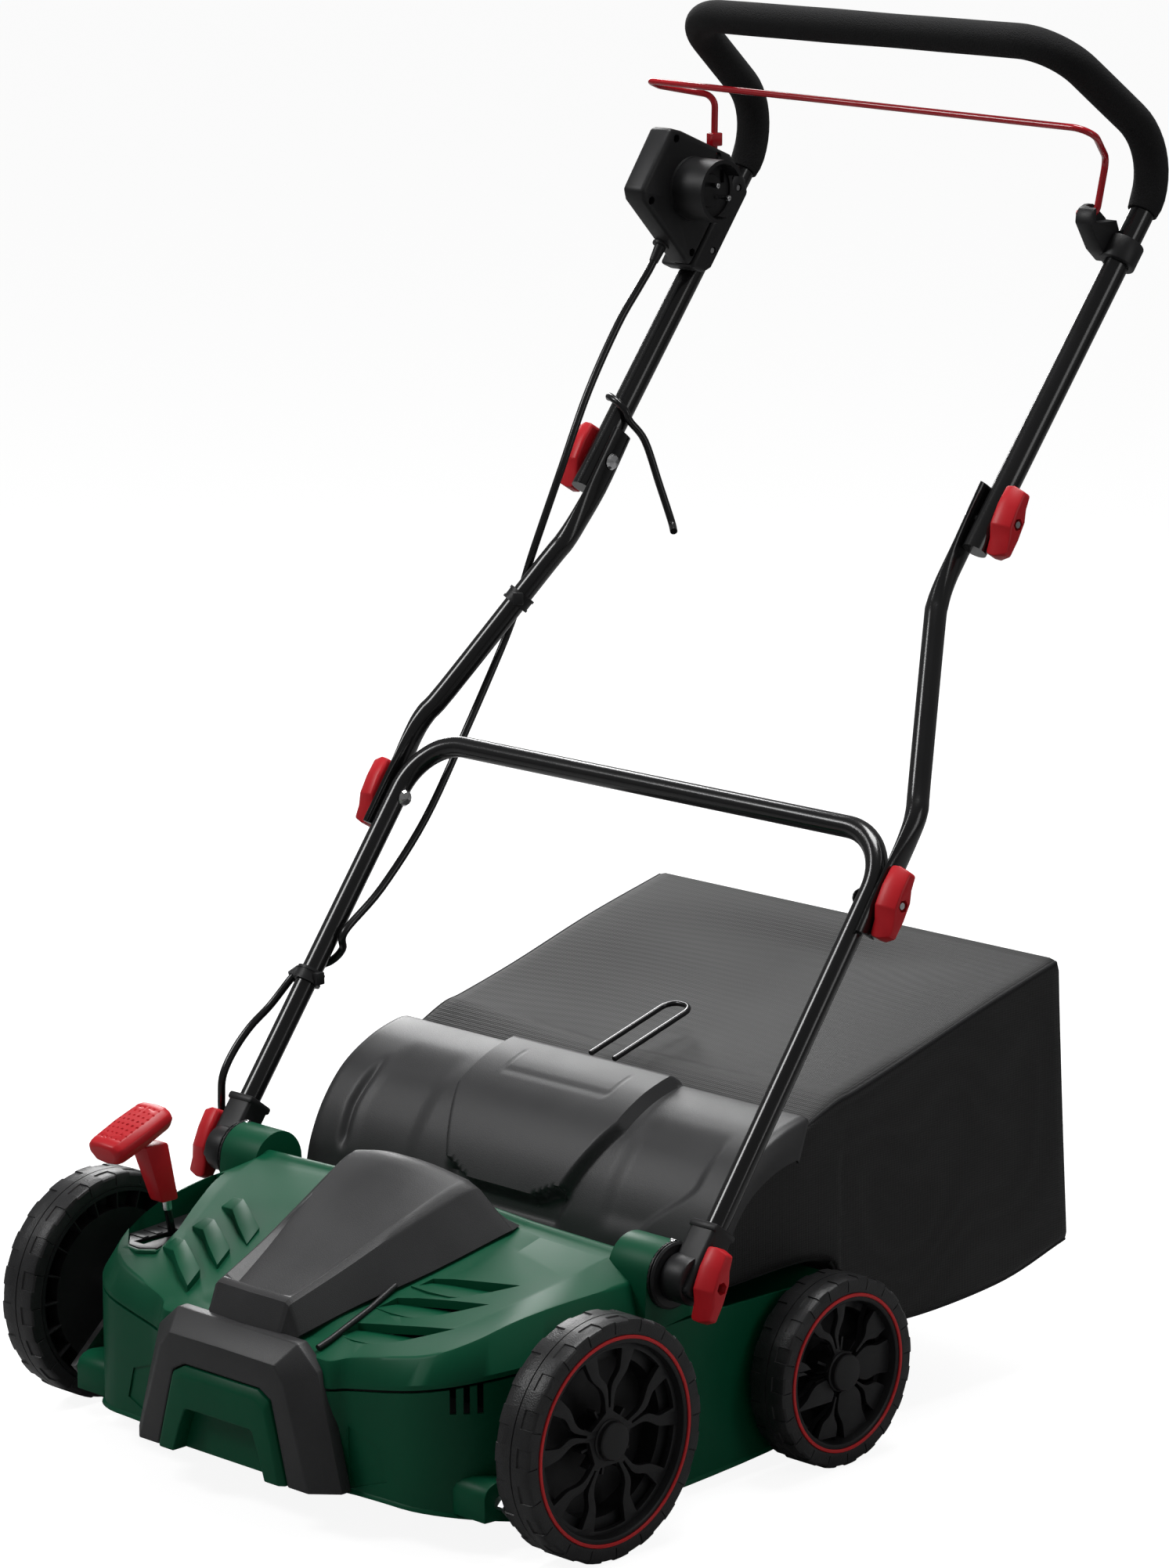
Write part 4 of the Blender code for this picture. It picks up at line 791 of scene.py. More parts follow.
GATE_OUTLINE = [(-0.236, 0.080), (-0.231, 0.040), (-0.226, -0.004), (-0.221, -0.040), (-0.197, -0.063),
                (-0.181, -0.065), (-0.168, -0.054), (-0.180, -0.018), (-0.195, 0.014), (-0.214, 0.056),
                (-0.224, 0.081)]
GATE_CENTRE = (-0.203, -0.010)
GATE_Z = 0.1640
SLOT_HALF, SLOT_FRONT, SLOT_BACK = 0.0060, -0.050, 0.014


def scaled(outline, centre, share):
    """The outline shrunk or grown about a point."""
    return [(centre[0] + (u - centre[0]) * share, centre[1] + (v - centre[1]) * share)
            for u, v in outline]


def softened(rails):
    """The rails with a rounded crease at each inner one."""
    smooth = [smooth_path(rail, 4) for rail in rails]
    rows = [smooth[0], smooth[1]]
    for before, rail, after in zip(smooth[1:], smooth[2:-1], smooth[3:]):
        low, high, middle = [], [], []
        for a, b, c in zip(before, rail, after):
            down, up = (a - b), (c - b)
            low_point = b + down.normalized() * min(CREASE, down.length * 0.4)
            high_point = b + up.normalized() * min(CREASE, up.length * 0.4)
            low.append(low_point)
            high.append(high_point)
            middle.append(b * 0.6 + (low_point + high_point) * 0.2)
        rows += [low, middle, high]
    rows.append(smooth[-1])
    return rows


def louvre(outline, depth, front, back):
    """A cutter over a leaf-shaped outline, and the plate that closes its hollow below.

    front and back are (y, z) pairs: the skin's height at the front, and at the back less the depth.
    """
    middle = (sum(x for x, y in outline) / len(outline), sum(y for x, y in outline) / len(outline))

    def floor_at(y):
        """The height of the hollow's floor at y."""
        return front[1] + (back[1] - depth - front[1]) * (y - front[0]) / (back[0] - front[0])

    cutter = closed_rings([[(x, y, 0.30) for x, y in outline], [(x, y, floor_at(y)) for x, y in outline]])
    wide = scaled(outline, middle, 1.08)
    plate = closed_rings([[(x, y, floor_at(y) + 0.0004) for x, y in wide],
                          [(x, y, floor_at(y) - 0.0030) for x, y in wide]])
    return cutter, plate


CLAW = [(0.0800, -0.0560), (0.0740, -0.0735), (0.0960, -0.0750), (0.1180, -0.0725), (0.1345, -0.0640),
        (0.1500, -0.0500), (0.1680, -0.0320), (0.1450, -0.0375), (0.1250, -0.0425), (0.1000, -0.0490)]
CLAW_STEPS = ((0.0, 0.0, 0.0), (0.004, 0.0395, 0.0140), (0.0125, 0.0720, 0.0265))
CLAW_DEPTH = 0.0125


def louvres():
    """The three claw-shaped hollows in the right shoulder."""
    made = []
    for order, (dx, dy, dz) in enumerate(CLAW_STEPS):
        size = 1.0 - 0.05 * order
        outline = [(0.090 + (x - 0.090) * size + dx, -0.055 + (y + 0.055) * size + dy) for x, y in CLAW]
        made.append(louvre(outline, CLAW_DEPTH, (-0.0735 + dy, 0.1520 + dz), (-0.0350 + dy, 0.1655 + dz)))
    return made


RIB_FRONT = [(-0.1740, -0.041, 0.165), (-0.156, -0.044, 0.164), (-0.134, -0.058, 0.158),
             (-0.106, -0.074, 0.152)]
RIB_BACK = [(-0.1740, -0.026, 0.170), (-0.160, -0.027, 0.169), (-0.139, -0.038, 0.165),
            (-0.114, -0.052, 0.160)]
RIB_STEP = Vector((-0.0015, 0.0350, 0.0100))
RIB_LIFTS = (0.30, 1.0, 1.0, 0.55)


def rib(index):
    """One of the bent straps that run from the depth gate down towards the hood."""
    lift = Vector((0.0095, -0.0100, 0.0075))
    rings = []
    for front, back, share in zip(RIB_FRONT, RIB_BACK, RIB_LIFTS):
        front_top = Vector(front) + RIB_STEP * index + lift * share
        back_top = Vector(back) + RIB_STEP * index + lift * share
        drop = Vector((0, 0, -0.024))
        rings.append([front_top + drop, front_top, back_top, back_top + drop])
    return bevel(closed_rings(rings), 0.0008, 2, 18)


def gate_column():
    """The raised column round the depth gate, and the cutter for the well in its top."""
    column = bevel(flat([GATE_OUTLINE], 0.040, Matrix(), (0, 0, GATE_Z - 0.0175)), 0.0022, 2)
    inner = scaled(GATE_OUTLINE, GATE_CENTRE, 0.93)
    well = flat([inner], 0.040, Matrix(), (0, 0, GATE_Z + 0.0202))
    return column, well


def ear(side):
    """The upright ear at each back corner that the handle's ratchet disc bears on."""
    y, z = LOWER
    outline = [(y - 0.0310, z - 0.046), (y - 0.0290, z - 0.010)]
    outline += [(y + 0.028 * math.cos(math.radians(a)), z + 0.028 * math.sin(math.radians(a)))
                for a in range(170, -31, -10)]
    outline += [(y + 0.0240, z - 0.040)]
    body = flat([outline], 0.0440, SIDE, ((0.2555 - 0.0220) * side, 0, 0))
    return bevel(body, 0.0022, 3)


def cover():
    """The green upper deck with its claws, ribs, gate column and the handle's ears."""
    shell = thick(softened(COVER_RAILS), (0, 0.05, 0.09), 0.93)
    claws = louvres()
    shell = cut(shell, *[cutter for cutter, plate in claws])
    groove = wire([(0.1300, 0.0390, 0.1965), (0.1330, 0.0700, 0.2060), (0.1349, 0.1062, 0.2165)], 0.0055)
    shell = cut(shell, groove)
    column, well = gate_column()
    shell = cut(fuse(shell, column), well)
    room = SLOT_HALF + 0.0005
    slot = block((LEVER_X - room, SLOT_FRONT - 0.002, 0.100), (LEVER_X + room, SLOT_BACK + 0.002, 0.200))
    shell = cut(shell, slot)
    ribs = [rib(index) for index in range(3)]
    shell = joined(shell, ear(-1), ear(1), *ribs, *[plate for cutter, plate in claws])
    place(shell, "top_cover", "deck", "green", "upper_deck")


def gate():
    """The black plate with the lever's slot and a tooth for each depth."""
    outline = scaled(GATE_OUTLINE, GATE_CENTRE, 0.91)
    slot = [(LEVER_X - SLOT_HALF, SLOT_FRONT), (LEVER_X + SLOT_HALF, SLOT_FRONT),
            (LEVER_X + SLOT_HALF, SLOT_BACK), (LEVER_X - SLOT_HALF, SLOT_BACK)]
    plate = flat([outline, slot], 0.003, Matrix(), (0, 0, GATE_Z + 0.0018))
    teeth = []
    for y in (-0.034, -0.018, -0.002):
        teeth.append(block((LEVER_X - 0.0240, y - 0.0060, GATE_Z),
                           (LEVER_X - 0.0065, y + 0.0010, GATE_Z + 0.0042)))
    place(joined(bevel(plate, 0.0006, 2), *[bevel(t, 0.0006, 2) for t in teeth]), "depth_gate", "deck",
          "black", "depth_gate_plate")


# The hood's sections from the front to the back, each as its low edge, its upper edge and its crown.
HOOD_ROWS = [
    [(0.0520, -0.1040, 0.1465), (0.0420, -0.1110, 0.1465), (0.0, -0.1140, 0.1465)],
    [(0.0530, -0.0960, 0.1510), (0.0430, -0.0990, 0.1780), (0.0, -0.1020, 0.1790)],
    [(0.0660, -0.0400, 0.1680), (0.0500, -0.0420, 0.1990), (0.0, -0.0440, 0.2020)],
    [(0.0880, 0.0200, 0.1870), (0.0580, 0.0180, 0.2240), (0.0, 0.0150, 0.2290)],
    [(0.1060, 0.0860, 0.2085), (0.0690, 0.0780, 0.2460), (0.0, 0.0660, 0.2580)],
    [(0.1080, 0.0940, 0.2105), (0.0720, 0.0940, 0.2360), (0.0, 0.0900, 0.2440)],
    [(0.1060, 0.1040, 0.2120), (0.0720, 0.1060, 0.2160), (0.0, 0.1080, 0.2215)]]


def hood_section(low, edge, crown, sink, wall):
    """Half a section of the hood: steep side, chamfer, crown, and a sunk panel with a sloping wall."""
    points = [low, low + (edge - low) * 0.45, low + (edge - low) * 0.84, low + (edge - low) * 0.90,
              low + (edge - low) * 0.97 + (crown - edge) * 0.05]
    for share in (0.07, 0.085, 0.085 + wall, 0.10 + wall, 0.45, 0.60, 0.80, 1.0):
        rise = (crown.z - edge.z) * (math.sin(share * math.pi / 2) - share) * 0.8
        drop = sink * ramp(share, 0.085, 0.085 + wall)
        points.append(edge + (crown - edge) * share + Vector((0, 0, rise - drop)))
    return points


HOOD_STEPS = 40          # sections to a span; the stations are the ones that are kept
HOOD_STATIONS = (2, 4, 5, 7, 8, 10, 14, 18, 22, 26, 33, 40, 50, 60, 70, 80, 90, 100, 110, 116, 120, 124,
                 132, 144, 156, 160)
PANEL_FRONT, PANEL_LENGTH, PANEL_DEPTH = -0.0880, 0.110, 0.0065


def hood():
    """The hood over the motor, with its long sunk panel that fades out towards the back."""
    front, back = HOOD_ROWS[0], HOOD_ROWS[1]
    rows = []
    for share in (0.0, 0.5, 0.80, 0.90, 0.97):
        lean = [Vector(a).lerp(Vector(b), share) for a, b in zip(front, back)]
        rows.append(hood_section(*lean, 0.0, 0.2))
    rails = [smooth_path([row[k] for row in HOOD_ROWS[1:6]], HOOD_STEPS) for k in range(3)]
    for index in HOOD_STATIONS:
        low, edge, crown = (rail[index] for rail in rails)
        back = max(0.0, (edge.y - PANEL_FRONT - 0.0005) / PANEL_LENGTH)
        sink = PANEL_DEPTH * ramp(edge.y, PANEL_FRONT - 0.0055, PANEL_FRONT) * max(0.0, 1 - back)
        rows.append(hood_section(low, edge, crown, sink, 0.26 * max(0.06, 1 - back * 1.3)))
    rows.append(hood_section(*[Vector(p) for p in HOOD_ROWS[6]], 0.0, 0.2))
    place(thick(rows, (0, 0.03, 0.09), 0.97), "hood_shell", "deck", "dark", "motor_hood", sharp=22)
    bar = wire([(0.0800, -0.1010, 0.1480), (0.0800, -0.088, 0.1515), (0.0760, -0.040, 0.1655),
                (0.0745, -0.008, 0.1785)], 0.0026, 4)
    place(bar, "hood_side_bar", "deck", "black")


def arch(inner, front, back, y_front, y_mid, y_back):
    """An arch of one section: a face at the front, a chamfer outwards and a flat back."""
    rings = []
    for (iu, iv), (fu, fv), (bu, bv) in zip(inner, front, back):
        rings.append([(iu, y_back, iv), (iu, y_front, iv), (fu, y_front, fv), (bu, y_mid, bv),
                      (bu, y_back, bv)])
    left = [[(-x, y, z) for x, y, z in ring] for ring in rings[:-1]]
    return bevel(closed_rings(left + list(reversed(rings))), 0.0016, 2, 20)


def trim():
    """The dark surround at the front and the green frame inside it."""
    inner = [(0.0780, 0.037), (0.0665, 0.079), (0.0590, 0.1060), (0.0450, 0.1135), (0.0, 0.1135)]
    front = [(0.1020, 0.037), (0.0850, 0.090), (0.0740, 0.1240), (0.0630, 0.1370), (0.0, 0.1375)]
    back = [(0.1230, 0.037), (0.1075, 0.092), (0.0950, 0.1340), (0.0720, 0.1535), (0.0, 0.1535)]
    place(arch(inner, front, back, -0.1345, -0.1160, -0.1050), "front_surround", "deck", "dark",
          "front_trim", sharp=20)
    inner = [(0.0550, 0.0375), (0.0480, 0.058), (0.0405, 0.0760), (0.0380, 0.0775), (0.0, 0.0775)]
    front = [(0.0715, 0.0375), (0.0625, 0.072), (0.0550, 0.0985), (0.0425, 0.1055), (0.0, 0.1055)]
    back = [(0.0768, 0.0375), (0.0655, 0.078), (0.0578, 0.1052), (0.0444, 0.1125), (0.0, 0.1125)]
    face = arch(inner, front, back, -0.1390, -0.1350, -0.1150)
    panel = flat([[(-0.0560, 0.0385), (0.0560, 0.0385), (0.0410, 0.0790), (-0.0410, 0.0790)]], 0.006,
                 FRONT, (0, -0.1220, 0))
    place(joined(face, panel), "front_badge_frame", "deck", "green", "front_insert", sharp=20)


# ---- depth lever ----
def depth_lever():
    """The lever's rod, its bright collar and its dimpled red grip."""
    top = (LEVER_X, -0.0185, 0.1975)
    path = fillet([(LEVER_X, *LEVER), (LEVER_X, -0.0120, 0.164), top], 0.004, 4)
    place(wire(path, LEVER_R), "lever_rod", "depth_lever", "paint", "depth_lever_rod")
    collar = rod((LEVER_X, -0.0175, 0.1900), (LEVER_X, -0.0190, 0.2005), 0.0042)
    place(collar, "lever_collar", "depth_lever", "bright")
    neck = hull([(LEVER_X + sx * w, y + sy * d, z) for z, y, w, d in ((0.1985, -0.0205, 0.0078, 0.0090),
                 (0.2520, -0.0370, 0.0100, 0.0125)) for sx in (-1, 1) for sy in (-1, 1)])
    grip_at, tilt = Vector((LEVER_X, -0.0560, 0.2640)), Matrix.Rotation(math.radians(21), 4, "X")
    shape = [(0.0215, 0.0), (0.0208, 0.0060), (0.0150, 0.0104), (0.0, 0.0116), (-0.0150, 0.0104),
             (-0.0208, 0.0060), (-0.0215, 0.0), (-0.0150, -0.0090), (0.0, -0.0112), (0.0150, -0.0090)]
    rings = []
    for along, size in ((-0.0345, 0.70), (-0.0320, 0.90), (-0.0270, 0.99), (0.0, 1.04), (0.0260, 0.99),
                        (0.0310, 0.90), (0.0335, 0.70)):
        rings.append([(u * size, along, v * size) for u, v in shape])
    bar = bevel(closed_rings(rings), 0.0012, 2, 25)
    bar.data.transform(Matrix.Translation(grip_at) @ tilt)
    grip = fuse(bar, bevel(neck, 0.0022, 2))
    dimples = []
    for row in range(8):
        for column in range(6):
            u, along = -0.0145 + 0.0058 * column, -0.0230 + 0.0066 * row
            bm = bmesh.new()
            bmesh.ops.create_icosphere(bm, subdivisions=1, radius=0.0018)
            ball = mesh_object(bm)
            ball.data.transform(Matrix.Translation(grip_at) @ tilt
                                @ Matrix.Translation((u, along, 0.0124 - abs(u) * 0.075)))
            dimples.append(ball)
    grip = cut(grip, joined(*dimples))
    place(grip, "lever_grip", "depth_lever", "red", "depth_lever_handle", sharp=40)


# ---- handle ----
KNOB_DEPTH, RATCHET_TEETH = 0.0206, 36


def knob(name, pivot, x_inner, side, lean):
    """A wing knob that narrows outwards, with a hexagonal recess and the stud's end in it."""
    shape = [(-0.0310, -0.0090), (-0.0130, -0.0125), (0.0060, -0.0125), (0.0180, -0.0060), (0.0310, -0.0040),
             (0.0310, 0.0090), (0.0130, 0.0125), (-0.0060, 0.0125), (-0.0180, 0.0060), (-0.0310, 0.0040)]
    cos, sin = math.cos(lean), math.sin(lean)
    rings = []
    for depth, along, across in ((0.0, 0.90, 0.85), (0.10, 0.98, 1.0), (0.45, 1.0, 1.0), (0.93, 0.90, 0.66),
                                 (1.0, 0.84, 0.56)):
        ring = []
        for u, v in shape:
            y, z = u * along * cos - v * across * sin, u * along * sin + v * across * cos
            ring.append(at((pivot[0] + y, pivot[1] + z), side * (x_inner + KNOB_DEPTH * depth)))
        rings.append(ring)
    wing = bevel(closed_rings(rings), 0.0012, 2, 24)
    recess_at = at(pivot, side * (x_inner + KNOB_DEPTH * 1.45))
    hexagon = flat([circle(0.0056, 6, start=lean)], KNOB_DEPTH * 2, SIDE, recess_at)
    wing = cut(wing, hexagon)
    place(wing, name + "_wing", name, "red", name, sharp=26)
    end = rod(at(pivot, side * (x_inner + 0.0060)), at(pivot, side * (x_inner + 0.0150)), 0.0036)
    place(bevel(end, 0.0006, 2), name + "_stud_end", name, "bright")


def ratchet(side, name):
    """The toothed disc on the ear, with its groove, its stud and a bright screw at its top."""
    profile = [(0.0262, 0.2615), (0.0280, 0.2600), (0.0280, 0.2592), (0.0268, 0.2588), (0.0268, 0.2580),
               (0.0280, 0.2576), (0.0280, 0.2562), (0.0274, 0.2557), (0.0030, 0.2557), (0.0030, 0.2615)]
    disc = turned(profile, 64, side, at(LOWER))
    stud = cross_rod(LOWER, 0.2560 * side, 0.2925 * side, 0.0039)
    teeth = []
    for k in range(RATCHET_TEETH):
        tooth = block((0.2568 * side - 0.0010, 0.0262, -0.0010), (0.2568 * side + 0.0010, 0.0283, 0.0010))
        teeth.append(spun(tooth, math.tau * k / RATCHET_TEETH, at(LOWER)))
    place(joined(disc, stud, *teeth), "ratchet_" + name, "deck", "black", "ratchet_disc_" + name)
    screw = rod((0.2525 * side, LOWER[0] + 0.004, LOWER[1] + 0.0262),
                (0.2575 * side, LOWER[0] + 0.004, LOWER[1] + 0.0262), 0.0030, 20)
    place(bevel(screw, 0.0006, 2), "ratchet_screw_" + name, "deck", "bright")


def bracket(side, name):
    """The socket that holds the bow's foot, with its flange and the round boss on the stud."""
    lean = math.atan2(MID[0] - LOWER[0], MID[1] - LOWER[1])
    low, high = sorted((0.2625 * side, 0.2912 * side))
    shell = bevel(block((low, -0.0130, -0.0150), (high, 0.0130, 0.0470)), 0.0042, 3)
    collar = bevel(block((low - 0.0006, -0.0142, 0.0410), (high + 0.0002, 0.0142, 0.0480)), 0.0022, 2)
    turn = Matrix.Translation(at(LOWER)) @ Matrix.Rotation(-lean, 4, "X")
    for obj in (shell, collar):
        obj.data.transform(turn)
    boss = bevel(cross_rod(LOWER, 0.2622 * side, 0.2850 * side, 0.0205, 40), 0.0020, 2)
    shell = fuse(shell, boss)
    socket = rod(along_tube(LOWER, MID, 0.0175, LEG_X * side), along_tube(LOWER, MID, 0.060, LEG_X * side),
                 LEG_R + 0.0003)
    shell = cut(fuse(shell, collar), socket)
    spacer = bevel(cross_rod(LOWER, 0.2900 * side, 0.2922 * side, 0.0100, 32), 0.0005, 1)
    place(joined(shell, spacer), "bow_socket_" + name, "lower_handle", "black", "bow_bracket_" + name)


def bow():
    """The lower handle, a tube bent into a U."""
    ends = [along_tube(LOWER, MID, 0.0180, LEG_X * side) for side in (-1, 1)]
    corners = [along_tube(MID, UPPER, 0.058, LEG_X * side) for side in (-1, 1)]
    path = fillet([ends[0], corners[0], corners[1], ends[1]], 0.052, 16)
    place(wire(path, LEG_R, 10), "lower_bow", "lower_handle", "paint", "lower_handle_bow")


def mid_tube(side, name):
    """A tube whose two ends are pressed flat for their bolts and turned to stand on edge."""
    pressed = ((0.0095, 0.0020), (0.0116, 0.0032), (0.0120, 0.0034))
    foot = [(along_tube(LOWER, MID, distance, MID_LOW_X), *size)
            for distance, size in zip((0.3210, 0.3222, 0.3260), pressed)]
    head = [(along_tube(MID, UPPER, distance, MID_TOP_X), *size)
            for distance, size in zip((0.3755, 0.3793, 0.3805), reversed(pressed))]
    stations = [(along_tube(MID, UPPER, 0.0240, MID_LOW_X), 0.0122, 0.0036),
                (Vector((0.2930, 0.3720, 0.5270)), 0.0105, 0.0070),
                (Vector((0.2900, 0.3850, 0.5450)), LEG_R, LEG_R),
                (Vector((0.2790, 0.4010, 0.5660)), LEG_R, LEG_R),
                (Vector((0.2280, 0.4760, 0.6770)), LEG_R, LEG_R),
                (Vector((0.2195, 0.4900, 0.6960)), LEG_R, LEG_R),
                (Vector((0.2160, 0.5050, 0.7150)), 0.0105, 0.0070),
                (along_tube(MID, UPPER, 0.3265, MID_TOP_X), 0.0122, 0.0034)]
    stations = foot + stations + head
    path = smooth_path([station[0] for station in stations], 4)
    sizes = smooth_path([(station[1], station[2], 0) for station in stations], 4)
    bar = [((p.x * side, p.y, p.z), s.x, s.y) for p, s in zip(path, sizes)]
    place(oval_bar(bar), "mid_leg_" + name, "mid_handle", "paint", "mid_tube_" + name)


def handle_route():
    """The corners of the upper handle from its left foot over to its right one."""
    half = [(UPPER_X, 0.5245, 0.7390), (0.2335, 0.7730, 1.0530), (0.2130, 0.6410, 1.1560)]
    return [(-x, y, z) for x, y, z in half] + list(reversed(half))


def grip_points(route):
    """The handle's bends and top, with a point about every 6 mm."""
    fine = []
    for first, second in zip(route, route[1:]):
        count = max(1, int((second - first).length / 0.006))
        fine += [first + (second - first) * k / count for k in range(count)]
    return fine + [route[-1]]


def handle_and_grip():
    """The upper handle and the foam sleeve over its top, a little uneven."""
    route = fillet(handle_route(), (0.058, 0.046, 0.046, 0.058), 12)
    place(wire(route, UPPER_R, 10), "grip_tube", "upper_handle", "paint", "upper_handle_tube")
    fine = grip_points(route[1:-1])
    last = len(fine) - 1
    rings = []
    for index, point in enumerate(fine):
        near = min(index, last - index)
        radius = GRIP_R - (0.0016 if near == 0 else 0.0004 if near == 1 else 0.0)
        radius += 0.00035 * noise.noise(point * 14)
        along = (fine[min(index + 1, last)] - fine[max(index - 1, 0)]).normalized()
        rings.append((point, along, radius))
    grip = tube_mesh(rings, UPPER_R + FIT, 36)
    place(grip, "grip_foam", "upper_handle", "foam", "foam_grip")


def tube_mesh(stations, bore, sides):
    """A sleeve with a bore; each station is (centre, direction, outer radius)."""
    frame_x = stations[0][1].orthogonal().normalized()
    outer, inner = [], []
    for centre, along, radius in stations:
        frame_x = (frame_x - along * frame_x.dot(along)).normalized()
        frame_y = along.cross(frame_x)
        spokes = [frame_x * u + frame_y * v for u, v in circle(1.0, sides)]
        outer.append([centre + spoke * radius for spoke in spokes])
        inner.append([centre + spoke * bore for spoke in spokes])
    loop = outer + list(reversed(inner)) + [outer[0]]
    return outward(bake(closed_rings(loop, ends=False)))


def knobs(side, name):
    """The three wing knobs of one side."""
    for level, pivot_at, x_inner, lean in (("lower", LOWER, 0.2920, 1.15), ("mid", MID, 0.2970, 1.05),
                                           ("upper", UPPER, 0.2420, 1.05)):
        knob(level + "_knob_" + name, pivot_at, x_inner, side, lean)


# ---- switch box, bail and clip ----
BOX_FRONT = [(0.612, 1.057), (0.628, 1.053), (0.692, 1.027), (0.7026, 1.0150), (0.6386, 0.9306),
             (0.578, 0.994), (0.575, 1.004)]
BOX_BACK = [(0.7032, 1.0142), (0.712, 1.003), (0.715, 0.992), (0.666, 0.927), (0.655, 0.923),
            (0.6392, 0.9298)]
SCREW_HOLES = [(0.6190, 1.0470), (0.6740, 1.0270), (0.5870, 0.9940), (0.6400, 0.9430), (0.6680, 0.9420),
               (0.7020, 0.9960)]


def switch_box():
    """The two halves of the switch box with the inlet, its pins and the lock button."""
    start, bend = (Vector((-x, y, z)) for x, y, z in reversed(handle_route()[-2:]))
    room = UPPER_R + FIT
    main = flat([BOX_FRONT], BOX_IN - BOX_OUT, SIDE, ((BOX_IN + BOX_OUT) / 2, 0, 0))
    main = bevel(main, 0.0060, 3)
    shroud = cross_rod(INLET, BOX_IN - 0.010, -0.168, 0.0285, 64)
    foot = cross_rod(INLET, BOX_IN - 0.006, BOX_IN + 0.0022, 0.0310, 64, 0.0288)
    main = fuse(main, foot, shroud)
    mouth = cross_rod(INLET, INLET_FLOOR, -0.150, 0.0250, 64)
    notch = block((INLET_FLOOR + 0.002, INLET[0] + 0.008, 0.9600), (-0.150, 0.690, INLET[1] + 0.012))
    keys = [block((INLET_FLOOR - 0.004, y - 0.003, z - 0.006), (INLET_FLOOR + 0.002, y + 0.003, z + 0.006))
            for y, z in ((0.6560, 1.0120), (0.6330, 0.9870))]
    slot = block((-0.2185, 0.655, 1.000), (-0.2095, 0.700, 1.070))
    button_hole = rod((-0.270, 0.600, 1.010), (-0.2140, 0.600, 1.010), 0.0068)
    holes = [cross_rod((y, z), BOX_IN - 0.006, BOX_IN + 0.010, 0.0037, 24) for y, z in SCREW_HOLES[:4]]
    main = cut(main, rod(start, bend, room), mouth, notch, *keys, slot, button_hole, *holes)
    place(main, "switch_box_front", "upper_handle", "black", "switch_box_body")
    saddle = flat([BOX_BACK], BOX_IN - SADDLE_OUT, SIDE, ((BOX_IN + SADDLE_OUT) / 2, 0, 0))
    holes = [cross_rod((y, z), BOX_IN - 0.003, BOX_IN + 0.010, 0.0035, 24) for y, z in SCREW_HOLES[4:]]
    saddle = cut(bevel(saddle, 0.0040, 3), rod(start, bend, room), *holes)
    place(saddle, "switch_box_back", "upper_handle", "black", "switch_box_clamp")
    screws = [bevel(cross_rod((y, z), BOX_IN - 0.0030, BOX_IN - 0.0012, 0.0029, 24), 0.0004, 1)
              for y, z in SCREW_HOLES[4:]]
    place(joined(*screws), "switch_box_screws", "upper_handle", "bright")
    plate = bevel(cross_rod(INLET, INLET_FLOOR + 0.0003, INLET_FLOOR + 0.0013, 0.0150), 0.0003, 1)
    place(plate, "inlet_plate", "upper_handle", "black")
    pins = []
    for s in (-1, 1):
        y, z = INLET[0] + 0.0073 * s, INLET[1] - 0.0061 * s
        pins.append(bevel(cross_rod((y, z), INLET_FLOOR + 0.0005, -0.1660, 0.0024, 24), 0.0008, 2))
    place(joined(*pins), "inlet_pins", "upper_handle", "bright", "inlet_contacts")
    button = turned([(0, 0.0160), (0.0050, 0.0158), (0.0060, 0.0148), (0.0062, 0.0135), (0.0062, 0.0),
                     (0, 0.0)], 32, -1, (-0.2190, 0.600, 1.010), closed=False)
    place(button, "lock_cap", "lock", "red", "lock_button")


def bail():
    """The red start bar in front of the grip, and its socket at the switch box."""
    path = fillet([(-0.2140, 0.6780, 1.0280), (-0.2140, 0.6790, 1.0805), (-0.2590, 0.6535, 1.0880),
                   (-0.2590, 0.6395, 1.0935), (0.2560, 0.6395, 1.0870), (0.2255, 0.6960, 1.0560),
                   at(BAIL, 0.2220), at(BAIL, 0.2020)], (0.012, 0.006, 0.006, 0.014, 0.014, 0.0085), 8)
    socket = bevel(block((-0.2182, 0.6720, 1.0350), (-0.2098, 0.6850, 1.0470)), 0.0010, 2)
    place(joined(wire(path, BAIL_R, 6), socket), "bail_bar", "bail", "red_wire", "start_bail")


def bail_clip():
    """The clip on the right tube that the start bar turns in."""
    y, z = BAIL
    start, bend = Vector(handle_route()[-1]), Vector(handle_route()[-2])
    along = (bend - start).normalized()
    centre = start + along * ((z - 0.034 - start.z) / along.z)
    collar = bevel(rod(centre - along * 0.011, centre + along * 0.011, 0.0160, 48), 0.0012, 2)
    outline = [(y - 0.0130, z - 0.0060), (y - 0.0122, z + 0.0010), (y - 0.0085, z + 0.0062),
               (y - 0.0020, z + 0.0088), (y + 0.0050, z + 0.0088), (y + 0.022, z - 0.005),
               (centre.y + 0.006, z - 0.020), (centre.y - 0.006, z - 0.042), (y + 0.002, z - 0.030)]
    arm = bevel(flat([outline], 0.018, SIDE, (0.2180, 0, 0)), 0.0014, 2)
    clip = fuse(collar, arm)
    clip = cut(clip, rod(start, bend, UPPER_R + FIT),
               cross_rod(BAIL, 0.1950, 0.2300, BAIL_R + 0.0003, 24),
               block((0.2180, y - 0.006, z - 0.0060), (0.2300, y + 0.024, z + 0.020)),
               block((0.2146, y - 0.0045, z - 0.0060), (0.2200, y + 0.024, z + 0.020)))
    place(clip, "bail_clip", "upper_handle", "black", "bail_bearing_clip")


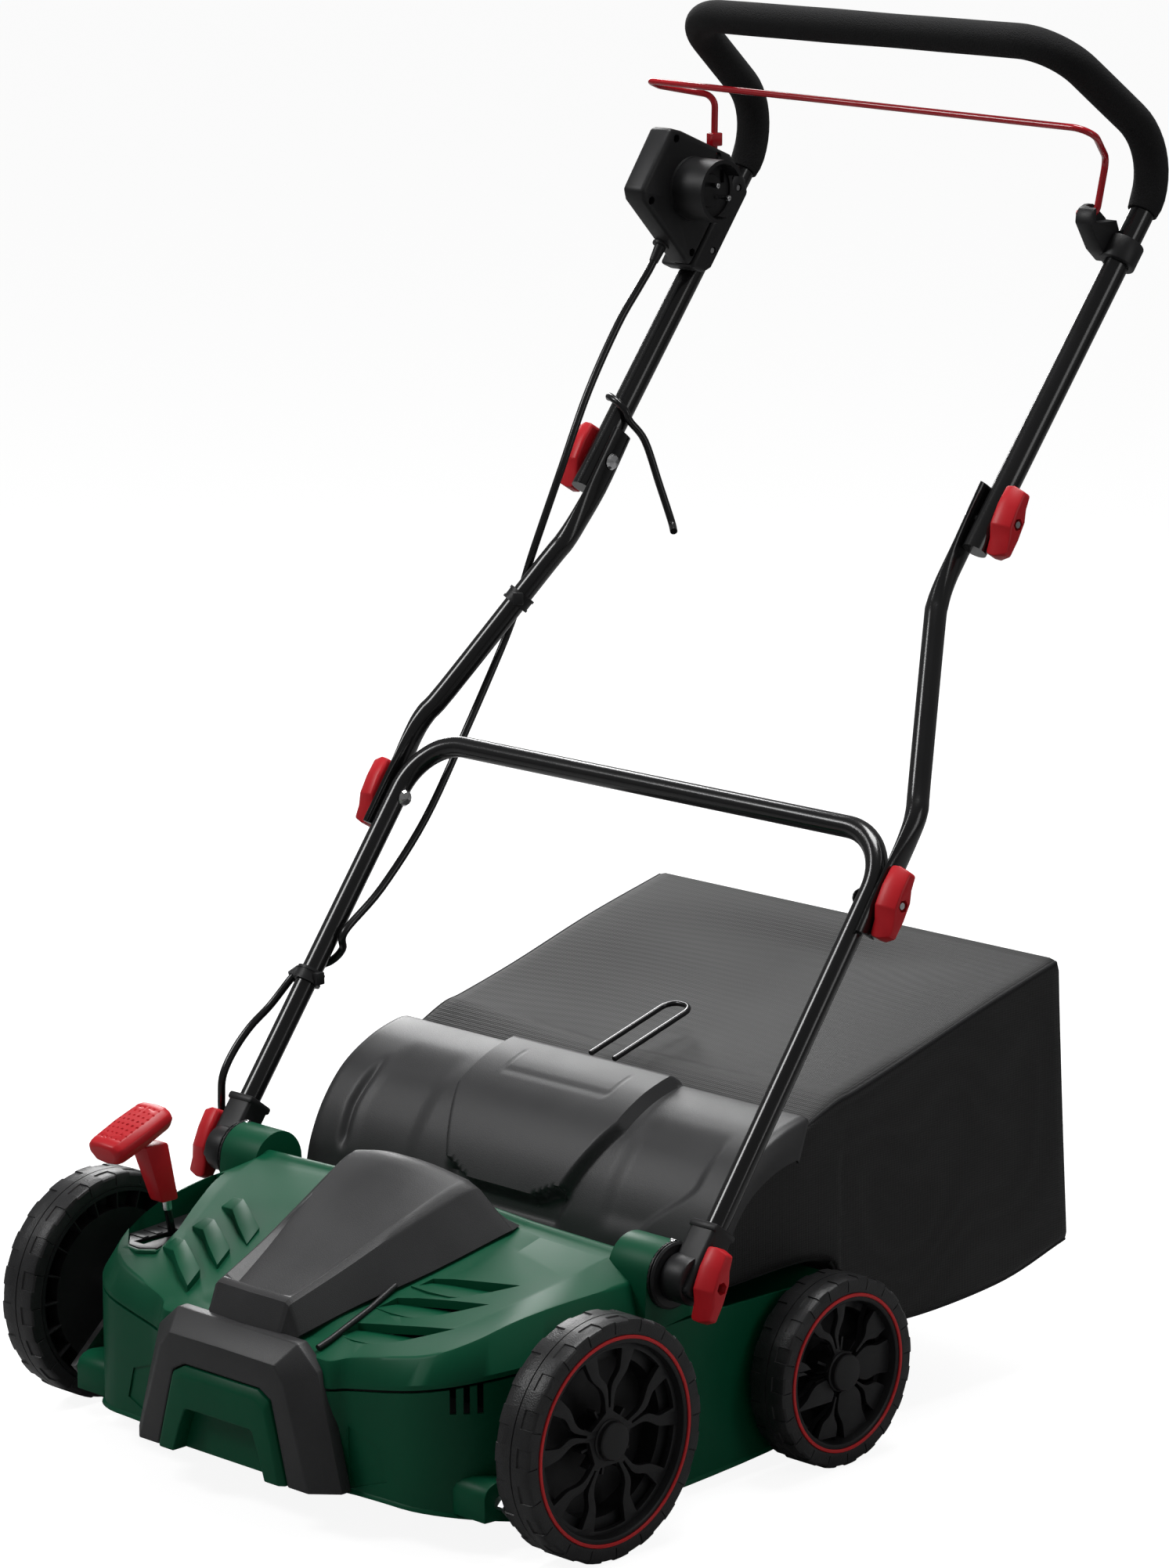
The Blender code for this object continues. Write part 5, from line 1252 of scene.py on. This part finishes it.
# ---- lead, clips and hook ----
# The lead's route from the switch box to the deck, as in the CAD.
CABLE_POINTS = [
    (-0.2250, 0.6197, 0.9487), (-0.2250, 0.6070, 0.9310), (-0.2252, 0.5920, 0.9140),
    (-0.2255, 0.5650, 0.8830), (-0.2260, 0.5270, 0.8260), (-0.2290, 0.4960, 0.7600),
    (-0.2400, 0.4735, 0.6920), (-0.2485, 0.4705, 0.6650), (-0.2523, 0.4691, 0.6505),
    (-0.2533, 0.4669, 0.6429), (-0.2543, 0.4647, 0.6353), (-0.2590, 0.4500, 0.6000),
    (-0.2610, 0.4050, 0.5280), (-0.2620, 0.3560, 0.4570), (-0.2625, 0.3020, 0.4030),
    (-0.2628, 0.2574, 0.3717), (-0.2677, 0.2587, 0.3545), (-0.2790, 0.2552, 0.3421),
    (-0.2905, 0.2440, 0.3363), (-0.2937, 0.2334, 0.3345), (-0.2950, 0.2290, 0.3320),
    (-0.2965, 0.2239, 0.3293), (-0.3060, 0.2070, 0.3060), (-0.3110, 0.1870, 0.2890),
    (-0.3140, 0.1700, 0.2700), (-0.3140, 0.1570, 0.2510), (-0.3140, 0.1545, 0.2330),
    (-0.3135, 0.1560, 0.2140), (-0.3020, 0.1620, 0.1970), (-0.2820, 0.1660, 0.1890),
    (-0.2620, 0.1650, 0.1850), (-0.2420, 0.1600, 0.1810)]
UPPER_CLIP, UPPER_EYE = Vector((-0.2423, 0.4550, 0.6459)), 9
LOWER_CLIP, LOWER_EYE = Vector((-LEG_X, 0.2285, 0.3330)), 20
MID_TUBE_HEADING, LEG_HEADING = Vector((0.3556, 0.5230, 0.7740)), Vector((0.0, 0.5979, 0.8016))


def lead_length(name, points):
    """One stretch of the lead, between the two bodies that it joins."""
    tube = wire(points, LEAD_R, 5)
    tube.name = tube.data.name = name
    tube.data.transform(Matrix.Translation(SHIFT))
    tube.data.materials.append(LOOKS["lead"])
    tube.data.shade_smooth()
    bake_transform(tube)
    return tube


def lead():
    """The whole lead in three stretches, with the reliefs at its ends."""
    per_span = 6
    route = smooth_path(CABLE_POINTS, per_span)
    upper, lower = UPPER_EYE * per_span, LOWER_EYE * per_span
    first = lead_length("lead_top", route[:upper + 1])
    lead_length("lead_middle", route[upper:lower + 1])
    lead_length("lead_bottom", route[lower:])
    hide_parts("power_lead")
    a, b = route[0], route[2]
    relief = rod(a + (a - b).normalized() * 0.006, a + (b - a).normalized() * 0.016, 0.0060, 24, 0.0041)
    ring = turned_along(a - (b - a).normalized() * 0.0015, (b - a).normalized(), 0.0082, 0.0040)
    place(joined(relief, ring), "lead_relief_top", "upper_handle", "black")
    a, b = route[-1], route[-3]
    relief = rod(a, a + (b - a).normalized() * 0.026, 0.0065, 24, 0.0045)
    place(relief, "lead_relief_bottom", "deck", "black")


def turned_along(centre, along, radius, width):
    """A rounded disc across a direction."""
    return bevel(rod(centre - along * width / 2, centre + along * width / 2, radius, 32), width * 0.3, 2)


def clip(name, body, centre, along, eye_index):
    """A band round a tube with an eye for the lead, two raised edges and a buckle's tail."""
    before, point, after = (Vector(p) for p in CABLE_POINTS[eye_index - 1:eye_index + 2])
    heading = (after - before).normalized()
    band = rod(centre - along * 0.006, centre + along * 0.006, LEG_R + 0.0026, 40)
    edges = [rod(centre + along * (s * 0.0048) - along * 0.0012, centre + along * (s * 0.0048)
                 + along * 0.0012, LEG_R + 0.0034, 40) for s in (-1, 1)]
    eye = rod(point - heading * 0.005, point + heading * 0.005, LEAD_R + 0.0030, 32)
    away = centre - point
    away = (away - along * away.dot(along)).normalized()
    buckle = block((-0.0028, -0.0045, -0.0055), (0.0028, 0.0045, 0.0055))
    turn = away.to_track_quat("X", "Z").to_matrix().to_4x4()
    buckle.data.transform(Matrix.Translation(centre + away * (LEG_R + 0.0040)) @ turn)
    made = fuse(band, *edges, eye, bevel(buckle, 0.0008, 2))
    made = cut(made, rod(centre - along * 0.02, centre + along * 0.02, LEG_R + FIT),
               rod(point - heading * 0.02, point + heading * 0.02, LEAD_R + 0.0008, 24))
    place(made, name + "_band", body, "black", name)


def hook():
    """The cable hook: a wire that wraps the left tube and hangs inwards."""
    start, bend = Vector(handle_route()[0]), Vector(handle_route()[1])
    along = (bend - start).normalized()
    front = Vector((0, -along.z, along.y))
    centre = start + along * ((0.800 - start.z) / along.z)
    reach = UPPER_R + 0.0050
    path = []
    for turn, lift in ((150, 0.012), (120, 0.010), (90, 0.007), (60, 0.004), (30, 0.000), (0, -0.005)):
        side = Vector((math.cos(math.radians(turn)), 0, 0)) + front * math.sin(math.radians(turn))
        path.append(centre + side * reach + along * lift)
    path += [Vector(p) for p in ((-0.2060, 0.5800, 0.7780), (-0.1930, 0.5850, 0.7400),
                                 (-0.1800, 0.5870, 0.7080), (-0.1700, 0.5800, 0.7000))]
    place(wire(smooth_path(path, 6), HOOK_R), "cable_hook_bar", "hook", "lead", "cable_hook")


# ---- flap ----
FLAP_SPAN, FLAP_HALF, FLAP_COLUMNS = 12, 0.236, 118
# The flap's profile as (y, z), from its hinge edge to its lip.
FLAP_PROFILE = [(0.1860, 0.1720), (0.1930, 0.2020), (0.2090, 0.2340), (0.2340, 0.2620), (0.2680, 0.2810),
                (0.3020, 0.2900), (0.3100, 0.2860)]


def flap_relief(x, s):
    """How far the flap's skin stands out at x, s of the way from its hinge edge to its lip."""
    half = 0.058 + 0.036 * min(1.0, max(0.0, (s - 0.12) / 0.45))
    start = 0.16 + 0.06 * ramp(abs(x), half - 0.026, half)
    raised = ramp(s, start, start + 0.018) * (1.0 - ramp(abs(x), half, half + 0.006))
    lift = 0.0100 * raised * (1.0 - ramp(s, 0.93, 1.0))
    moat = ramp(s, 0.03, 0.08) * (1.0 - ramp(s, start - 0.03, start))
    moat *= 1.0 - ramp(abs(x), half, half + 0.014)
    lift -= 0.0065 * moat
    if x < 0:
        line = -0.205 + 0.018 * abs(s - 0.36)
        crease = math.exp(-((x - line) / 0.0045) ** 2)
        lift -= 0.0042 * crease * ramp(s, 0.12, 0.22) * (1 - ramp(s, 0.5, 0.66))
        lift -= 0.0018 * ramp(x, line, line + 0.02) * (1 - ramp(x, -0.13, -0.11)) * (1 - ramp(s, 0.6, 0.8))
    else:
        line = 0.208 - 0.045 * ramp(s, 0.42, 0.12)
        hollow = (1 - ramp(x, line - 0.010, line)) * ramp(x, 0.105, 0.125)
        lift -= 0.0028 * hollow * ramp(s, 0.08, 0.20) * (1 - ramp(s, 0.55, 0.72))
    frame_line = abs(abs(x) - 0.062) < 0.0008 and 0.70 < s < 0.86
    frame_line = frame_line or (abs(x) < 0.062 and abs(s - 0.70) < 0.010)
    return lift - (0.0005 if frame_line else 0.0)


def flap():
    """The rear flap: one moulded skin with a raised middle panel and a skirt at each end."""
    profile = smooth_path([(0, y, z) for y, z in FLAP_PROFILE], FLAP_SPAN)
    lip = smooth_path([profile[-FLAP_SPAN - 1], (0, 0.3075, 0.2902), (0, 0.3100, 0.2860)], 4)
    profile = profile[:-FLAP_SPAN] + lip
    total = [0.0]
    for a, b in zip(profile, profile[1:]):
        total.append(total[-1] + (b - a).length)
    xs = [FLAP_HALF * k / FLAP_COLUMNS for k in range(-FLAP_COLUMNS, FLAP_COLUMNS + 1)]
    rows = []
    for index, point in enumerate(profile):
        s = total[index] / total[-1]
        before, after = profile[max(index - 1, 0)], profile[min(index + 1, len(profile) - 1)]
        along = (after - before).normalized()
        normal = Vector((0, -along.z, along.y))
        end_y = point.y + (0.240 - point.y) * 0.25
        end_z = point.z - 0.006 - 0.30 * max(0.0, point.z - 0.200)
        right = [(0.2410, point.y, point.z - 0.0012),
                 (0.2445, point.y + (end_y - point.y) * 0.35, point.z - 0.0050), (0.246, end_y, end_z)]
        left = [(-x, y, z) for x, y, z in reversed(right)]
        skin_at = [(x, point + normal * flap_relief(x, s)) for x in xs]
        rows.append(left + [(x, p.y, p.z) for x, p in skin_at] + right)
    place(sheet(rows, FLAP_WALL, mirror=False), "flap_skin", "flap", "dark", "rear_flap", sharp=50)


# ---- bag ----
BAG_SPAN, BAG_CORNER, BAG_ACROSS, BAG_TALL = 9, 0.010, 46, 26
# The bag's sections from the front to the back, each as its top (y, z), its lowest (y, z) and its half width.
BAG_STATIONS = [((0.309, 0.2790), (0.209, 0.158), 0.236), ((0.350, 0.2960), (0.336, 0.156), 0.238),
                ((0.375, 0.3010), (0.362, 0.105), 0.238), ((0.440, 0.3170), (0.430, 0.082), 0.238),
                ((0.540, 0.3440), (0.560, 0.086), 0.240), ((0.634, 0.3660), (0.652, 0.106), 0.240)]


def bag_sections():
    """Smooth sections along the bag: top and bottom points and half width."""
    tops = smooth_path([(0, *s[0]) for s in BAG_STATIONS], BAG_SPAN)
    lows = smooth_path([(0, *s[1]) for s in BAG_STATIONS], BAG_SPAN)
    wide = smooth_path([(s[2], 0, 0) for s in BAG_STATIONS], BAG_SPAN)
    return [(top, low, w.x) for top, low, w in zip(tops, lows, wide)]


def bag_ring(top, low, half):
    """One section of the bag, a rounded rectangle; each point is (place, side it is on, share).

    It runs along the floor and up the right side, then back along the top and down the left side.
    """
    height = (top - low).length
    up = (top - low).normalized()
    flat_half = half - BAG_CORNER
    points = []
    for base, far, rise, out, level, upright in ((low, top, up, 1, "low", "right"),
                                                 (top, low, -up, -1, "top", "left")):
        for k in range(BAG_ACROSS):
            share = k / (BAG_ACROSS - 1)
            points.append((base + Vector((out * flat_half * (2 * share - 1), 0, 0)), level, share))
        arc = [(out * (flat_half + BAG_CORNER * math.sin(math.radians(a))),
                rise * BAG_CORNER * (1 - math.cos(math.radians(a)))) for a in (30, 60)]
        points += [(base + Vector((x, 0, 0)) + lift, "corner", 0) for x, lift in arc]
        for k in range(BAG_TALL):
            share = k / (BAG_TALL - 1)
            lift = rise * (BAG_CORNER + (height - 2 * BAG_CORNER) * share)
            points.append((base + Vector((out * half, 0, 0)) + lift, upright, share))
        points += [(far + Vector((x, 0, 0)) - lift, "corner", 0) for x, lift in reversed(arc)]
    return points


def sag(point, side, share, along):
    """Slack in the cloth: each panel dips between its seams, with long shallow folds."""
    if side == "corner":
        return Vector((0, 0, 0))
    hang = 4 * share * (1 - share)
    ease = ramp(along, 0.10, 0.35) * (0.35 + 0.65 * hang)
    slow = noise.noise(point * 5.5)
    fold = noise.noise(Vector((point.x * 4, point.y * 13, point.z * 11)) + Vector((7, 3, 1)))
    if side == "top":
        back = 1 - ramp(along, 0.86, 1.0)
        drop = -0.0085 * hang * ease * back + (0.0060 * slow + 0.0050 * fold) * ease * back
        return Vector((0, 0, drop))
    if side == "low":
        return Vector((0, 0, -0.006 * hang * ease + 0.005 * fold * ease))
    out = 1 if side == "right" else -1
    back = 1 - 0.8 * ramp(along, 0.90, 1.0)
    swell = min(0.0020, -0.0035 * hang * ease + 0.0045 * slow * ease + 0.0030 * fold * ease)
    return Vector((out * swell * back, 0, 0))


def bag():
    """The cloth: a loft through the sections, open at the front, with a bellied back panel."""
    sections = bag_sections()
    bm = bmesh.new()
    rings = []
    last = len(sections) - 1
    for index, (top, low, half) in enumerate(sections):
        ring = []
        for point, side, share in bag_ring(top, low, half):
            tuck = Vector((0, 0, 0))
            if side in ("left", "right"):
                tuck.y = -0.030 * math.sin(math.pi * share) * max(0.0, 1 - index / BAG_SPAN)
            ring.append(bm.verts.new(point + tuck + sag(point, side, share, index / last)))
        rings.append(ring)
    labels = [side for point, side, share in bag_ring(*sections[0])]
    for index, (first, second) in enumerate(zip(rings, rings[1:])):
        for k in range(len(first)):
            n = (k + 1) % len(first)
            if index < BAG_SPAN and labels[k] == "low" and labels[n] == "low":
                continue
            bm.faces.new((first[k], first[n], second[n], second[k]))
    top, low, half = sections[-1]
    centre = (top + low) / 2
    before = rings[-1]
    for share, back in ((0.975, 0.0062), (0.93, 0.0085), (0.75, 0.0090), (0.5, 0.0085), (0.25, 0.0080)):
        ring = []
        for vert in rings[-1]:
            flat_at = centre + (vert.co - centre) * share
            swell = min(0.0088, back + 0.0020 * noise.noise(flat_at * 9))
            ring.append(bm.verts.new(flat_at + Vector((0, swell, 0))))
        for k in range(len(ring)):
            n = (k + 1) % len(ring)
            bm.faces.new((before[k], before[n], ring[n], ring[k]))
        before = ring
    bm.faces.new(before)
    bmesh.ops.recalc_face_normals(bm, faces=bm.faces)
    cloth = mesh_object(bm)
    solid = cloth.modifiers.new("wall", "SOLIDIFY")
    solid.thickness = CLOTH
    solid.offset = -1.0
    place(bake(cloth), "bag_cloth", "bag", "mesh", "catch_bag", sharp=60)
    seams(sections)


def seams(sections):
    """The piping along the bag's long edges and round its back."""
    corner = 0.0035
    paths = []
    for side in (-1, 1):
        for end in (0, 1):
            start, sign = ((0, -1), (BAG_SPAN + 1, 1))[end]
            paths.append([s[end] + Vector((side * (s[2] - corner), 0, sign * corner))
                          for s in sections[start:]])
    top, low, half = sections[-1]
    up = (top - low).normalized()
    across = Vector((half - corner, 0, 0))
    back = [low + up * corner - across, low + up * corner + across, top - up * corner + across,
            top - up * corner - across]
    start = (back[0] + back[3]) / 2
    loop = fillet([start] + back + [start], 0.010, 5)
    pipes = [wire(path, PIPING_R, 3) for path in paths + [loop]]
    place(joined(*pipes), "bag_piping", "bag", "piping")


def bag_loop():
    """The wire handle on top of the bag."""
    y, z = 0.330, 0.2965
    path = fillet([(-0.014, y - 0.018, z), (-0.014, 0.4120, 0.3240), (0.014, 0.4120, 0.3240),
                   (0.014, y - 0.018, z)], 0.012, 8)
    place(wire(path, LOOP_R), "bag_loop_wire", "bag", "lead", "bag_handle_loop")


# ---- CAD nodes that are shown as they are ----
KEPT = {"motor_can": "steel", "motor_shaft_and_pulley": "steel", "drive_belt": "belt",
        "driven_pulley": "black", "roller_bearing_left": "steel", "roller_bearing_right": "steel",
        "scarifier_roller": "steel", "rear_axle": "steel", "front_crank_axle": "steel",
        "flap_hinge_pin": "steel", "flap_spring": "steel", "tunnel_cover": "black",
        "mid_joint_bolt_left": "bright", "mid_joint_bolt_right": "bright",
        "upper_joint_bolt_left": "bright", "upper_joint_bolt_right": "bright"}


def kept_nodes():
    """Gives the CAD nodes that stay visible their looks."""
    for name, look in KEPT.items():
        data = frame["nodes"][name].data
        data.materials.clear()
        data.materials.append(LOOKS[look])


def build():
    """Everything in order; the noise has no random seed, so each run is the same."""
    studio()
    for name, side in (("left", -1), ("right", 1)):
        wheel("front_wheel_" + name, FRONT_R, FRONT_X, FRONT_AXLE, side, 18)
        wheel("rear_wheel_" + name, REAR_R, REAR_X, REAR_AXLE, side, 36)
        ratchet(side, name)
        bracket(side, name)
        mid_tube(side, name)
        knobs(side, name)
    skirt()
    cover()
    gate()
    hood()
    trim()
    depth_lever()
    bow()
    handle_and_grip()
    switch_box()
    bail()
    bail_clip()
    lead()
    clip("cable_clip_upper", "mid_handle", UPPER_CLIP, MID_TUBE_HEADING, UPPER_EYE)
    clip("cable_clip_lower", "lower_handle", LOWER_CLIP, LEG_HEADING, LOWER_EYE)
    hook()
    flap()
    bag()
    bag_loop()
    kept_nodes()


build()
